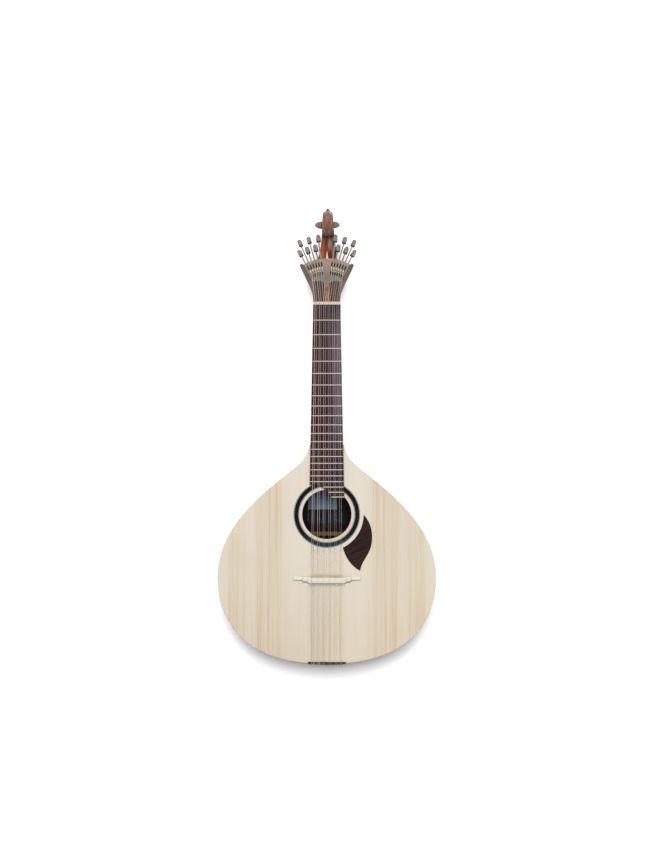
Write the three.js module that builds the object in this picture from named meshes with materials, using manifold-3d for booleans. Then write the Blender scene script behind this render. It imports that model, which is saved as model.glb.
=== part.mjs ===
// A twelve-string Portuguese guitar: pear-shaped body with an arched back, long neck with 21 frets,
// a fan tuning machine with twelve screws and a carved scroll.
// Millimetres. It lies on its back: +Z out of the soundboard, +Y to the head, +X to the treble side.
// The origin is on the back's flat centre strip, under the bridge's string line.
import * as THREE from "three";
import { mergeVertices } from "three/addons/utils/BufferGeometryUtils.js";
import Module from "manifold-3d";

const wasm = await Module();
wasm.setup();

// Driving sizes of the body
const scaleLength = 440; // nut to bridge
const bodyHalfWidth = 177;
const bodyTailReach = 138.2; // bridge line to the tail edge
const bodyNeckReach = 213.5; // bridge line to the neck joint
const bodyDepth = 90; // rest face to the soundboard's top

// Clearances
const glueGap = 0.1; // between flat faces that are glued or screwed together
const seatGap = 0.3; // between pieces of the tilted head, and round what turns
const overrun = 5; // how far a cutting tool runs past the face it cuts

// Plates, ribs and inner pieces of the body
const soundboardThickness = 2.8;
const backThickness = 2.6;
const ribThickness = 2.4;
const restHalfWidth = 46; // flat strip along the middle of the back
const archRise = 11; // how much higher the back is at the body's widest edge
const liningWidth = 5;
const liningHeight = 7.5;
const blockHalfWidth = 33;
const neckBlockDepth = 38;
const tailBlockDepth = 17;
const braceWidth = 6;
const braceHeight = 12;
const braceTipHeight = 4;
const braceTipLength = 34;
const upperBraceShare = 0.383; // upper brace: share of the way from the sound hole to the neck block
const middleBraceBelow = 12; // middle brace's centre below the sound hole's edge
const upperBackBraceBelow = 34.6; // back's upper brace below the sound hole's centre
const lowerBraceBehind = 66; // lower braces' centre behind the bridge line
const backBraceHeight = 9;

// Sound hole, rosette and pickguard
const holePlaceShare = 0.48056; // sound hole's centre: share of the way from the bridge line to the neck joint
const holeRadius = 39.1;
const rosetteWidth = 13.1;
const rosetteThickness = 1.2;
const guardThickness = 1.2;
const guardArcRadius = 59.3; // the leaf's hollow edge, about the hole's centre
const guardTipSide = 53.9;
const guardTipShare = 0.882; // leaf's tip: share of the way from the hole's centre to the bridge line
const guardBulgeSide = 72.9;
const guardBulgeDrop = 36.6;

// Neck, fingerboard, frets and nut
const boardNutHalfWidth = 22;
const boardEndHalfWidth = 28;
const boardThickness = 6;
const boardArchRadius = 300;
const boardEndY = 128.6; // treble side
const boardStepY = 150.5; // bass side
const boardStepSide = 17; // where the bass side's end starts to sweep down
const boardSweepSide = 7.4; // where the sweep reaches the treble side's end
const fretHeight = 1;
const fretWidth = 2;
const fretCrownWidth = 0.9;
const nutThickness = 5;
const nutHeight = 8.5;
const nutSlotDepth = 1;
const neckNutDepth = 15;
const neckHeelDepth = 18;
const heelReach = 62;
const shoulderMargin = 1.9; // how far the body stands out beside the fingerboard

// Head block
const headTilt = THREE.MathUtils.degToRad(14);
const headBlockLength = 65.3;
const headFlareHalfWidth = 43.2;
const headThickness = 22;
const headSwell = 26; // length over which the head's back leaves the neck's depth
const recessDepth = 8.5;
const recessInnerRadius = 44.5;

// Fan tuning machine
const fanCentreBehind = 2; // where all screw axes meet, behind the nut's back edge
const arcInnerRadius = 71;
const arcThickness = 4;
const firstSpoke = THREE.MathUtils.degToRad(7.2);
const spokePitch = THREE.MathUtils.degToRad(3.95);
const spokesPerSide = 6;
const screwDrop = 3.8; // screw axes under the head block's top face
const screwRadius = 1;
const screwTipRadius = 45.6; // distance of the screws' ends from the fan's centre
const shankRadius = 1.05;
const collarRadius = 1.6;
const collarThickness = 1;
const boreClearance = 0.25;
const longKnobStart = 105;
const shortKnobStart = 89.3;
const knobLength = 12.2;
const knobRadius = 3.75;
const plateThickness = 1.2;
const plateBottomHalfWidth = 23.5;
const plateBottomReach = 34.7; // from the nut's back edge to the plate's lower corners
const plateTipDrop = 5.5; // how far the lower edge's middle point hangs
const plateBayHalfWidth = 9.5;
const plateEdgeMargin = 4.2; // plate beyond the outermost screw's collar, at the arc
const slotWidth = 2.2;
const slotLength = 22;
const slotMargin = 1; // between the slots and the bearing arc
const hookWidth = 2.8;
const hookLength = 6;
const hookHeight = 5.2;
const hookStemWidth = 1.3;
const hookStemLength = 2.4;
const hookStemRise = 4.6; // above the head block's top face
const hookLipLength = 1;
const hookLipHeight = 1.1;
const hookRestInset = 13.5; // hook's centre from the bearing arc at concert pitch
const hookTravelInward = 5.4; // the most that a hook rides towards the nut from there

// Stem and scroll
const stemBackRise = 3; // how far the stem's back leans towards the strings at the scroll
const scrollCentreReach = 129.2; // from the nut's back edge
const scrollCentreRise = 1.5; // above the head block's top face
const scrollRadius = 25.2;
const scrollHalfWidth = 8;
const scrollRidge = 0.9;
const crestHeight = 5; // the crest on the volute's outer end, above the ridge
const crestReach = THREE.MathUtils.degToRad(38); // half the turn that the crest takes
const coilStep = 1.2; // how deep the coil's groove is cut into the volute's sides
const stemHalfWidth = 16.9;
const stemThroat = 11; // stem thickness under the volute
const earReach = 20.4;
const earRadius = 6.4;

// Strings, bridge and tail
const stringRadii = [0.46, 0.24, 0.4, 0.2, 0.33, 0.17, 0.25, 0.25, 0.16, 0.16, 0.13, 0.13];
const courseSpacingNut = 6.95;
const courseSpacingBridge = 9.4;
const pairSpacing = 2.9;
const stringRise = 7.6; // bottom of the nut slots above the soundboard
const stringGap = 0.1;
const bridgeHalfLength = 53.75;
const bridgeBlockHalfLength = 33;
const bridgeHeight = 11.2;
const bridgeWingHeight = 6;
const bridgeWingTipHeight = 3.4;
const bridgeWingDepth = 5.8;
const bridgeFront = 3.6; // foot of the bridge's front slope before the string line
const bridgeCrest = 1.4; // half width of the crest that carries the strings
const bridgeBack = 7.2; // back of the centre block behind the string line
const bridgeArchHalfLength = 13;
const bridgeArchHeight = 2.4;
const saddleHalfLength = 30.2;
const saddleDepth = 3.8;
const saddleRise = 1.2;
const saddleProud = 0.5;
const railHalfLength = 31.5;
const railThickness = 1.7;
const railHeight = 15;
const railDrop = 10; // rail's upper edge below the soundboard's top
const studRadius = 0.8;
const studHeadRadius = 1.15;
const studReach = 2.1;
const studHeadThickness = 0.6;
const studRow = 8; // studs below the rail's upper edge
const studSpacing = 4.6;

// Places worked out from the sizes
const bodyLength = bodyTailReach + bodyNeckReach;
const holeCentreY = bodyNeckReach * holePlaceShare;
const soundboardBottom = bodyDepth - soundboardThickness;
const rimTop = soundboardBottom - glueGap;
const boardBottom = bodyDepth + glueGap;
const boardTop = boardBottom + boardThickness;
const headStartY = scaleLength + nutThickness;
const arcOuterRadius = arcInnerRadius + arcThickness;
const rosetteRadius = holeRadius + rosetteWidth;
const stringCount = 2 * spokesPerSide;
const fretCount = 21;
const rimSegments = [14, 12, 6];
const holeSegments = 48;
const archSteps = 6;

// Colours
const finishes = {
  spruce: new THREE.MeshStandardMaterial({ color: 0xdccfba, roughness: 0.6, metalness: 0 }),
  palewood: new THREE.MeshStandardMaterial({ color: 0xc9a67c, roughness: 0.65, metalness: 0 }),
  innerwood: new THREE.MeshStandardMaterial({ color: 0xcdb48f, roughness: 0.8, metalness: 0 }),
  rosewood: new THREE.MeshStandardMaterial({ color: 0x3c2d2b, roughness: 0.5, metalness: 0 }),
  neckwood: new THREE.MeshStandardMaterial({ color: 0x98664a, roughness: 0.5, metalness: 0 }),
  maple: new THREE.MeshStandardMaterial({ color: 0xd9cdb4, roughness: 0.55, metalness: 0 }),
  bone: new THREE.MeshStandardMaterial({ color: 0xdecdbf, roughness: 0.4, metalness: 0 }),
  nickel: new THREE.MeshStandardMaterial({ color: 0x91908c, roughness: 0.35, metalness: 0.9 }),
  plate: new THREE.MeshStandardMaterial({ color: 0x8d8075, roughness: 0.4, metalness: 0.8 }),
  wire: new THREE.MeshStandardMaterial({ color: 0xb9b4ac, roughness: 0.3, metalness: 0.95 }),
  inlay: new THREE.MeshStandardMaterial({ color: 0x23242a, roughness: 0.4, metalness: 0 }),
};

const instrument = new THREE.Group();

// Solid tools

function solidFrom(geometry) {
  const bare = geometry.clone();
  bare.deleteAttribute("normal");
  bare.deleteAttribute("uv");
  const merged = mergeVertices(bare);
  const mesh = new wasm.Mesh({
    numProp: 3,
    vertProperties: merged.attributes.position.array,
    triVerts: new Uint32Array(merged.index.array),
  });
  return new wasm.Manifold(mesh);
}

function geometryFrom(solid) {
  const mesh = solid.getMesh();
  const geometry = new THREE.BufferGeometry();
  geometry.setAttribute("position", new THREE.BufferAttribute(mesh.vertProperties, 3));
  geometry.setIndex(new THREE.BufferAttribute(mesh.triVerts, 1));
  geometry.computeVertexNormals();
  return geometry;
}

function addPiece(parent, name, geometry, material) {
  const mesh = new THREE.Mesh(geometry, material);
  mesh.name = name;
  parent.add(mesh);
  return mesh;
}

function addSolid(parent, name, solid, material) {
  return addPiece(parent, name, geometryFrom(solid), material);
}

// A flat outline raised from one height to another.
function prism(shape, low, high, curveSegments = 12) {
  const options = { depth: high - low, bevelEnabled: false, curveSegments };
  return new THREE.ExtrudeGeometry(shape, options).translate(0, 0, low);
}

// An outline drawn in X and Z, carried along Y.
function carriedAlongY(shape, near, far, curveSegments = 12) {
  return prism(shape, 0, far - near, curveSegments).rotateX(Math.PI / 2).translate(0, far, 0);
}

// An outline drawn in Y and Z, carried along X.
function carriedAlongX(shape, left, right, steps = 1) {
  const options = { depth: right - left, bevelEnabled: false, steps };
  const geometry = new THREE.ExtrudeGeometry(shape, options);
  return geometry.rotateX(Math.PI / 2).rotateZ(Math.PI / 2).translate(left, 0, 0);
}

function polygon(points) {
  return new THREE.Shape(points.map(([x, y]) => new THREE.Vector2(x, y)));
}

function rectangle(left, right, low, high) {
  return polygon([
    [left, low],
    [right, low],
    [right, high],
    [left, high],
  ]);
}

function block(left, right, near, far, low, high) {
  return solidFrom(prism(rectangle(left, right, near, far), low, high));
}

// A body turned about the Z axis, from the radius and height of each profile point.
function turned(profile, segments) {
  const points = profile.map(([radius, height]) => new THREE.Vector2(radius, height));
  return new THREE.LatheGeometry(points, segments);
}

function moveVertices(geometry, change) {
  const places = geometry.attributes.position;
  const point = new THREE.Vector3();
  for (let i = 0; i < places.count; i++) {
    change(point.fromBufferAttribute(places, i));
    places.setXYZ(i, point.x, point.y, point.z);
  }
  return geometry;
}

// A closed body through rings that all hold the same number of points.
function loft(rings) {
  const count = rings[0].length;
  const circle = [];
  for (let i = 0; i < count; i++) {
    const turn = (2 * Math.PI * i) / count;
    circle.push([Math.cos(turn), Math.sin(turn)]);
  }
  const steps = rings.length - 1;
  const options = { depth: steps, steps, bevelEnabled: false };
  const geometry = new THREE.ExtrudeGeometry(polygon(circle), options);
  return moveVertices(geometry, (point) => {
    const turn = Math.atan2(point.y, point.x) / (2 * Math.PI);
    const place = Math.round((turn + 1) * count) % count;
    point.copy(rings[Math.round(point.z)][place]);
  });
}

// Body outline

// Control points of the treble side, tail to shoulder: shares of the half width and of the length
const rimShares = [
  [0, 0],
  [0.817, 0],
  [1, 0.2184],
  [1, 0.4126],
  [1, 0.6374],
  [0.4588, 0.8342],
  [0.2825, 0.9045],
  [0.2299, 0.9241],
];
const shoulderLengthShare = 0.9773;

function boardHalfWidthAt(y) {
  const share = (scaleLength - y) / (scaleLength - boardEndY);
  return boardNutHalfWidth + (boardEndHalfWidth - boardNutHalfWidth) * share;
}

const jointHalfWidth = boardHalfWidthAt(bodyNeckReach) + shoulderMargin;
const rimPoints = rimShares.map(
  ([side, along]) => new THREE.Vector2(bodyHalfWidth * side, bodyLength * along - bodyTailReach),
);
rimPoints.push(new THREE.Vector2(jointHalfWidth, bodyLength * shoulderLengthShare - bodyTailReach));
rimPoints.push(new THREE.Vector2(jointHalfWidth, bodyNeckReach));
const rimCurves = rimSegments.map(
  (_, index) => new THREE.CubicBezierCurve(...rimPoints.slice(3 * index, 3 * index + 4)),
);

// The treble half of the outline, tail to neck joint, moved inwards by an inset.
function rimHalf(inset) {
  const top = bodyNeckReach - inset;
  const points = [];
  rimCurves.forEach((curve, index) => {
    const steps = rimSegments[index];
    for (let i = index ? 1 : 0; i <= steps; i++) {
      const at = curve.getPoint(i / steps);
      const along = curve.getTangent(i / steps);
      points.push(new THREE.Vector2(at.x - along.y * inset, at.y + along.x * inset));
    }
  });
  const last = points[points.length - 1];
  const kept = points.filter((point) => point.y < top);
  kept.push(new THREE.Vector2(last.x, top));
  return kept;
}

function mirrored(points) {
  return points.map((point) => new THREE.Vector2(-point.x, point.y)).reverse();
}

function rimOutline(inset) {
  const right = rimHalf(inset);
  return [...right, ...mirrored(right.slice(1))];
}

function rimShape(inset) {
  return new THREE.Shape(rimOutline(inset));
}

function rimRing(outerInset, innerInset) {
  const shape = rimShape(outerInset);
  shape.holes.push(new THREE.Path(rimOutline(innerInset)));
  return shape;
}

// Half the width between the rims at a place along the body
function rimHalfWidthAt(y, inset) {
  const points = rimHalf(inset);
  const next = points.findIndex((point) => point.y > y);
  const [from, to] = [points[next - 1], points[next]];
  return from.x + ((to.x - from.x) * (y - from.y)) / (to.y - from.y);
}

// Half the length of a bar across the body, clear of the linings along both its sides
function braceHalfLength(y) {
  const sides = [y - braceWidth / 2, y + braceWidth / 2];
  const inset = ringInset + liningWidth + seatGap;
  return Math.min(...sides.map((side) => rimHalfWidthAt(side, inset)));
}

// How far along Y the tail edge lies, a distance from the middle line
function tailEdgeAt(x) {
  const points = rimHalf(0);
  const next = points.findIndex((point) => point.x > Math.abs(x));
  const [from, to] = [points[next - 1], points[next]];
  return from.y + ((to.y - from.y) * (Math.abs(x) - from.x)) / (to.x - from.x);
}

// Arch of the back: flat along the middle, then rising to the edges in equal steps of an arc.
function archHeight(x) {
  const span = bodyHalfWidth - restHalfWidth;
  const radius = (span ** 2 + archRise ** 2) / (2 * archRise);
  const pitch = span / archSteps;
  const out = Math.max(0, Math.abs(x) - restHalfWidth);
  const step = Math.floor(out / pitch);
  const rise = (distance) => radius - Math.sqrt(radius ** 2 - distance ** 2);
  const inner = rise(step * pitch);
  const outer = rise((step + 1) * pitch);
  return inner + (outer - inner) * (out / pitch - step);
}

// Places across a bar or plate, up to a half width, where the arch has its corners.
function archPlaces(halfWidth) {
  const pitch = (bodyHalfWidth - restHalfWidth) / archSteps;
  const right = [];
  for (let x = restHalfWidth; x < halfWidth; x += pitch) right.push(x);
  right.push(halfWidth);
  return [...right.map((x) => -x).reverse(), ...right];
}

// What lies between the arch, lifted by an amount, and a roof over it.
function overArch(lift, roof) {
  const places = archPlaces(bodyHalfWidth + overrun);
  const floor = places.map((x) => [x, archHeight(x) + lift]);
  const cover = places.map((x) => [x, roof(x)]).reverse();
  const shape = polygon([...floor, ...cover]);
  return solidFrom(carriedAlongY(shape, -bodyTailReach - overrun, bodyNeckReach + overrun));
}

const flatRoof = () => rimTop;
const ringInset = ribThickness + glueGap;
const backTop = backThickness + glueGap;

function liningRing(grow) {
  return rimRing(ringInset - grow, ringInset + liningWidth + grow);
}

function topLiningSolid(grow) {
  return solidFrom(prism(liningRing(grow), rimTop - liningHeight - grow, rimTop + grow));
}

function backLiningSolid(grow) {
  const tall = solidFrom(prism(liningRing(grow), -overrun, rimTop));
  const roof = (x) => archHeight(x) + backTop + liningHeight + grow;
  return tall.intersect(overArch(backTop - grow, roof));
}

// Soundboard, with the hole, the rosette's seat and the notch for the tail saddle

function makeSoundboard() {
  const shape = rimShape(0);
  const hole = new THREE.Path();
  hole.absarc(0, holeCentreY, holeRadius, 0, 2 * Math.PI, true);
  shape.holes.push(hole);
  const board = solidFrom(prism(shape, soundboardBottom, bodyDepth, holeSegments / 2));
  const seatFloor = bodyDepth - rosetteThickness - glueGap;
  const seatProfile = [
    [0, seatFloor],
    [rosetteRadius + glueGap, seatFloor],
    [rosetteRadius + glueGap, bodyDepth + overrun],
    [0, bodyDepth + overrun],
  ];
  const seat = turned(seatProfile, holeSegments).rotateX(Math.PI / 2).translate(0, holeCentreY, 0);
  const notchSide = saddleHalfLength + glueGap;
  const notchEnd = saddleDepth + glueGap - bodyTailReach;
  const [low, high] = [soundboardBottom - overrun, bodyDepth + overrun];
  const notch = block(-notchSide, notchSide, -bodyTailReach - overrun, notchEnd, low, high);
  return board.subtract(solidFrom(seat)).subtract(notch);
}

function makeRosette() {
  const profile = [
    [holeRadius, bodyDepth - rosetteThickness],
    [rosetteRadius, bodyDepth - rosetteThickness],
    [rosetteRadius, bodyDepth],
    [holeRadius, bodyDepth],
    [holeRadius, bodyDepth - rosetteThickness],
  ];
  return turned(profile, holeSegments).rotateX(Math.PI / 2).translate(0, holeCentreY, 0);
}

// One bent rib, from the tail's middle to the neck joint's middle
function makeRib(side) {
  const start = glueGap / 2;
  const outer = rimHalf(0);
  const inner = rimHalf(ribThickness).reverse();
  const ring = [
    ...outer,
    new THREE.Vector2(start, bodyNeckReach),
    new THREE.Vector2(start, bodyNeckReach - ribThickness),
    ...inner,
  ];
  const points = ring.map((point) => [side * Math.max(point.x, start), point.y]);
  const tall = solidFrom(prism(polygon(points), -overrun, rimTop));
  return tall.intersect(overArch(backTop, flatRoof));
}

function makeBack() {
  const tall = solidFrom(prism(rimShape(0), -overrun, rimTop));
  return tall.intersect(overArch(0, (x) => archHeight(x) + backThickness));
}

// A solid block inside the ribs, rebated for the linings
function makeEndBlock(near, far) {
  const room = solidFrom(prism(rimShape(ringInset), backTop, rimTop));
  const blank = block(-blockHalfWidth, blockHalfWidth, near, far, 0, bodyDepth);
  const rebated = room.intersect(blank).subtract(topLiningSolid(glueGap));
  return rebated.subtract(backLiningSolid(glueGap));
}

// A bar under the soundboard, scalloped to thin tips that meet the lining
function makeTopBrace(y) {
  const half = braceHalfLength(y);
  const shoulder = half - Math.min(braceTipLength, half / 2);
  const shape = new THREE.Shape();
  shape.moveTo(-half, rimTop);
  shape.lineTo(-half, rimTop - braceTipHeight);
  shape.quadraticCurveTo(-shoulder, rimTop - braceTipHeight, -shoulder, rimTop - braceHeight);
  shape.lineTo(shoulder, rimTop - braceHeight);
  shape.quadraticCurveTo(shoulder, rimTop - braceTipHeight, half, rimTop - braceTipHeight);
  shape.lineTo(half, rimTop);
  return carriedAlongY(shape, y - braceWidth / 2, y + braceWidth / 2, 3);
}

// A bar on the back that follows its arch
function makeBackBrace(y) {
  const half = braceHalfLength(y);
  const shoulder = half - Math.min(braceTipLength, half / 2);
  const floor = archPlaces(half).map((x) => [x, archHeight(x) + backTop]);
  const ridge = backTop + archHeight(half) + backBraceHeight;
  const tip = backTop + archHeight(half) + braceTipHeight;
  const shape = polygon([...floor, [half, tip], [shoulder, ridge], [-shoulder, ridge], [-half, tip]]);
  return carriedAlongY(shape, y - braceWidth / 2, y + braceWidth / 2);
}

// The leaf's bulging edges, corner to tip, tip to bulge and bulge to start: each handle's shares
// of the way across and along
const leafEdgeShares = [
  [0.12, 0.42, 0.52, 0.84],
  [0.12, 0.36, 1, 0.48],
  [0, 0.42, 0.36, 0.76],
];

// The leaf beside the sound hole: one hollow edge along the rosette, the others bulging to the tip
function makePickguard() {
  const from = THREE.MathUtils.degToRad(-0.5);
  const to = THREE.MathUtils.degToRad(-64);
  const onArc = (turn) =>
    new THREE.Vector2(
      guardArcRadius * Math.cos(turn),
      holeCentreY + guardArcRadius * Math.sin(turn),
    );
  const tip = new THREE.Vector2(guardTipSide, holeCentreY * (1 - guardTipShare));
  const bulge = new THREE.Vector2(guardBulgeSide, holeCentreY - guardBulgeDrop);
  const corners = [onArc(to), tip, bulge, onArc(from)];
  const shape = new THREE.Shape();
  shape.moveTo(corners[3].x, corners[3].y);
  shape.absarc(0, holeCentreY, guardArcRadius, from, to, true);
  leafEdgeShares.forEach(([sideA, alongA, sideB, alongB], index) => {
    const [start, end] = [corners[index], corners[index + 1]];
    shape.bezierCurveTo(
      THREE.MathUtils.lerp(start.x, end.x, sideA),
      THREE.MathUtils.lerp(start.y, end.y, alongA),
      THREE.MathUtils.lerp(start.x, end.x, sideB),
      THREE.MathUtils.lerp(start.y, end.y, alongB),
      end.x,
      end.y,
    );
  });
  return prism(shape, bodyDepth + glueGap, bodyDepth + glueGap + guardThickness, 8);
}

addSolid(instrument, "soundboard", makeSoundboard(), finishes.spruce);
addPiece(instrument, "rosette", makeRosette(), finishes.inlay);
addSolid(instrument, "rib_bass", makeRib(-1), finishes.palewood);
addSolid(instrument, "rib_treble", makeRib(1), finishes.palewood);
addSolid(instrument, "back", makeBack(), finishes.palewood);
addSolid(instrument, "top_lining", topLiningSolid(0), finishes.innerwood);
addSolid(instrument, "back_lining", backLiningSolid(0), finishes.innerwood);
const neckBlockFar = bodyNeckReach - ringInset;
const neckBlockNear = neckBlockFar - neckBlockDepth;
const tailBlockNear = ringInset - bodyTailReach;
const neckBlock = makeEndBlock(neckBlockNear, neckBlockFar);
const tailBlock = makeEndBlock(tailBlockNear, tailBlockNear + tailBlockDepth);
addSolid(instrument, "neck_block", neckBlock, finishes.innerwood);
addSolid(instrument, "tail_block", tailBlock, finishes.innerwood);
const holeTop = holeCentreY + holeRadius;
const upperBraceY = THREE.MathUtils.lerp(holeTop, neckBlockNear, upperBraceShare);
const middleBraceY = holeCentreY - holeRadius - middleBraceBelow;
addPiece(instrument, "top_brace_upper", makeTopBrace(upperBraceY), finishes.innerwood);
addPiece(instrument, "top_brace_middle", makeTopBrace(middleBraceY), finishes.innerwood);
addPiece(instrument, "top_brace_lower", makeTopBrace(-lowerBraceBehind), finishes.innerwood);
const upperBackBraceY = holeCentreY - upperBackBraceBelow;
addPiece(instrument, "back_brace_upper", makeBackBrace(upperBackBraceY), finishes.innerwood);
addPiece(instrument, "back_brace_lower", makeBackBrace(-lowerBraceBehind), finishes.innerwood);
addPiece(instrument, "pickguard", makePickguard(), finishes.rosewood);

// Fingerboard with its frets

function fretPlace(number) {
  return scaleLength * 2 ** (-number / 12);
}

// A section across the board, its arched top raised where a fret's crown stands
function boardRing(y, lift) {
  const half = boardHalfWidthAt(y);
  const top = [-1, -0.5, 0, 0.5, 1].map((share) => {
    const x = half * share;
    const sag = boardArchRadius - Math.sqrt(boardArchRadius ** 2 - x ** 2);
    return new THREE.Vector3(x, y, boardTop - sag + lift);
  });
  const right = new THREE.Vector3(half, y, boardBottom);
  const left = new THREE.Vector3(-half, y, boardBottom);
  return [right, left, ...top];
}

function makeFingerboard() {
  const rings = [boardRing(boardEndY, 0)];
  for (let number = fretCount; number >= 1; number--) {
    const y = fretPlace(number);
    rings.push(boardRing(y - fretWidth / 2, 0), boardRing(y - fretCrownWidth / 2, fretHeight));
    rings.push(boardRing(y + fretCrownWidth / 2, fretHeight), boardRing(y + fretWidth / 2, 0));
  }
  rings.push(boardRing(scaleLength, 0));
  const side = boardEndHalfWidth + overrun;
  const under = boardEndY - overrun;
  const sweep = new THREE.Shape();
  sweep.moveTo(-side, boardStepY);
  sweep.lineTo(-boardStepSide, boardStepY);
  sweep.bezierCurveTo(
    -boardStepSide / 2,
    boardStepY,
    boardSweepSide / 4,
    (boardStepY + boardEndY) / 2,
    boardSweepSide,
    boardEndY,
  );
  sweep.lineTo(boardSweepSide, under);
  sweep.lineTo(-side, under);
  const cutter = prism(sweep, boardBottom - overrun, boardTop + overrun, 5);
  return solidFrom(loft(rings)).subtract(solidFrom(cutter));
}

// Strings stand in pairs; each pair is centred on its course.
function stringSide(index, courseSpacing) {
  const course = Math.floor(index / 2);
  const courses = stringCount / 2;
  const centre = (course - (courses - 1) / 2) * courseSpacing;
  return centre + (index % 2 ? 0.5 : -0.5) * pairSpacing;
}

function studSide(index) {
  return (index - (stringCount - 1) / 2) * studSpacing;
}

const nutSlotFloor = bodyDepth + stringRise;
const nutTop = bodyDepth + nutHeight;

// Nut: a bone bar with one slot for each string
function makeNut() {
  const points = [
    [boardNutHalfWidth, boardBottom],
    [boardNutHalfWidth, nutTop - nutSlotDepth],
    [boardNutHalfWidth - nutSlotDepth, nutTop],
  ];
  for (let index = stringCount - 1; index >= 0; index--) {
    const x = stringSide(index, courseSpacingNut);
    const half = stringRadii[index] + stringGap;
    points.push([x + 2 * half, nutTop], [x + half, nutSlotFloor]);
    points.push([x - half, nutSlotFloor], [x - 2 * half, nutTop]);
  }
  points.push([nutSlotDepth - boardNutHalfWidth, nutTop]);
  points.push([-boardNutHalfWidth, nutTop - nutSlotDepth], [-boardNutHalfWidth, boardBottom]);
  return carriedAlongY(polygon(points), scaleLength + glueGap, headStartY);
}

// Neck: a round-backed section that grows into a deep heel and squares up at the head
const neckSectionShares = [
  [1, 0],
  [0.99, 0.2],
  [0.9, 0.52],
  [0.72, 0.78],
  [0.46, 0.94],
  [0.16, 1],
];
const heelSectionShares = [
  [1, 0],
  [0.95, 0.2],
  [0.86, 0.48],
  [0.74, 0.74],
  [0.56, 0.95],
  [0.4, 1],
];
const headSectionShares = [
  [1, 0],
  [1, 0.3],
  [1, 0.6],
  [1, 0.9],
  [0.92, 1],
  [0.4, 1],
];

function neckRing(share) {
  const start = bodyNeckReach + glueGap;
  const y = start + (headStartY - start) * share ** 1.7;
  const heel = Math.max(0, 1 - (y - start) / heelReach);
  const squareness = Math.max(0, 1 - (headStartY - y) / headSwell) ** 2;
  const slender = THREE.MathUtils.mapLinear(y, start, headStartY, neckHeelDepth, neckNutDepth);
  const depth = slender + (bodyDepth - slender) * heel ** 2.4;
  const half = boardHalfWidthAt(y);
  const right = neckSectionShares.map(([x, z], index) => {
    const [heelX, heelZ] = heelSectionShares[index];
    const [headX, headZ] = headSectionShares[index];
    const blend = heel ** 0.7;
    const wide = x + (heelX - x) * blend + (headX - x) * squareness;
    const deep = z + (heelZ - z) * blend + (headZ - z) * squareness;
    return [wide * half, -deep * depth];
  });
  const lean = share === 1 ? Math.tan(headTilt) : 0;
  const outline = [...right, ...right.map(([x, z]) => [-x, z]).reverse()];
  return outline.map(([x, z]) => new THREE.Vector3(x, y + lean * z, bodyDepth + z));
}

function makeNeck() {
  const rings = [];
  const stations = 14;
  for (let i = 0; i <= stations; i++) rings.push(neckRing(i / stations));
  return loft(rings);
}

addSolid(instrument, "fingerboard", makeFingerboard(), finishes.rosewood);
addPiece(instrument, "nut", makeNut(), finishes.bone);
addPiece(instrument, "neck", makeNeck(), finishes.neckwood);

// Head: everything here is drawn on the tilted head plane. X runs across, Y away from the nut,
// and Z out of the head block's top face.

const head = new THREE.Group();
head.position.set(0, headStartY, bodyDepth);
head.rotation.x = -headTilt;
instrument.add(head);

const outerSpoke = firstSpoke + (spokesPerSide - 1) * spokePitch;
const fanHalfAngle = outerSpoke + plateEdgeMargin / arcOuterRadius;
const hookNearest = arcInnerRadius - hookRestInset - hookTravelInward - hookLength / 2;
const recessHalfAngle = outerSpoke + (hookWidth / 2 + seatGap) / hookNearest;

function fanPoint(angle, radius) {
  return [radius * Math.sin(angle), radius * Math.cos(angle) - fanCentreBehind];
}

function arcPoints(radius, from, to, steps) {
  const points = [];
  for (let i = 0; i <= steps; i++) points.push(fanPoint(from + ((to - from) * i) / steps, radius));
  return points;
}

function fanSector(inner, outer, halfAngle, steps) {
  return polygon([
    ...arcPoints(outer, halfAngle, -halfAngle, steps),
    ...arcPoints(inner, -halfAngle, halfAngle, Math.ceil(steps / 2)),
  ]);
}

// The flank's edge, from the nut out to the flare: shares of the extra width and of the length
const flankShares = [
  [0, 0],
  [0, 0.12],
  [0.156, 0.317],
  [0.5, 0.571],
  [0.807, 0.775],
  [1, 0.93],
  [0.955, 0.985],
  [0.84, 1],
];

function headPlan() {
  const spread = headFlareHalfWidth - boardNutHalfWidth;
  const right = flankShares.map(([side, along]) => [
    boardNutHalfWidth + spread * side,
    headBlockLength * along,
  ]);
  const left = right.map(([x, y]) => [-x, y]).reverse();
  return polygon([...right, ...arcPoints(arcOuterRadius, fanHalfAngle, -fanHalfAngle, 14), ...left]);
}

// Side view of the block: its back swells from the neck's depth to the full thickness
function headSide() {
  const shape = new THREE.Shape();
  const end = arcOuterRadius + overrun;
  shape.moveTo(seatGap, 0);
  shape.lineTo(seatGap, -neckNutDepth);
  shape.quadraticCurveTo(headSwell / 2, -neckNutDepth, headSwell, -headThickness);
  shape.lineTo(end, -headThickness);
  shape.lineTo(end, 0);
  return shape;
}

// A point of the volute's spiral, at a share of its radius
function spiralPoint(degrees, share = 1) {
  const turn = THREE.MathUtils.degToRad(degrees);
  const radius = share * scrollRadius * (1 - 0.36 * (degrees / 330) ** 1.4);
  return [scrollCentreReach + radius * Math.sin(turn), scrollCentreRise - radius * Math.cos(turn)];
}

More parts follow.
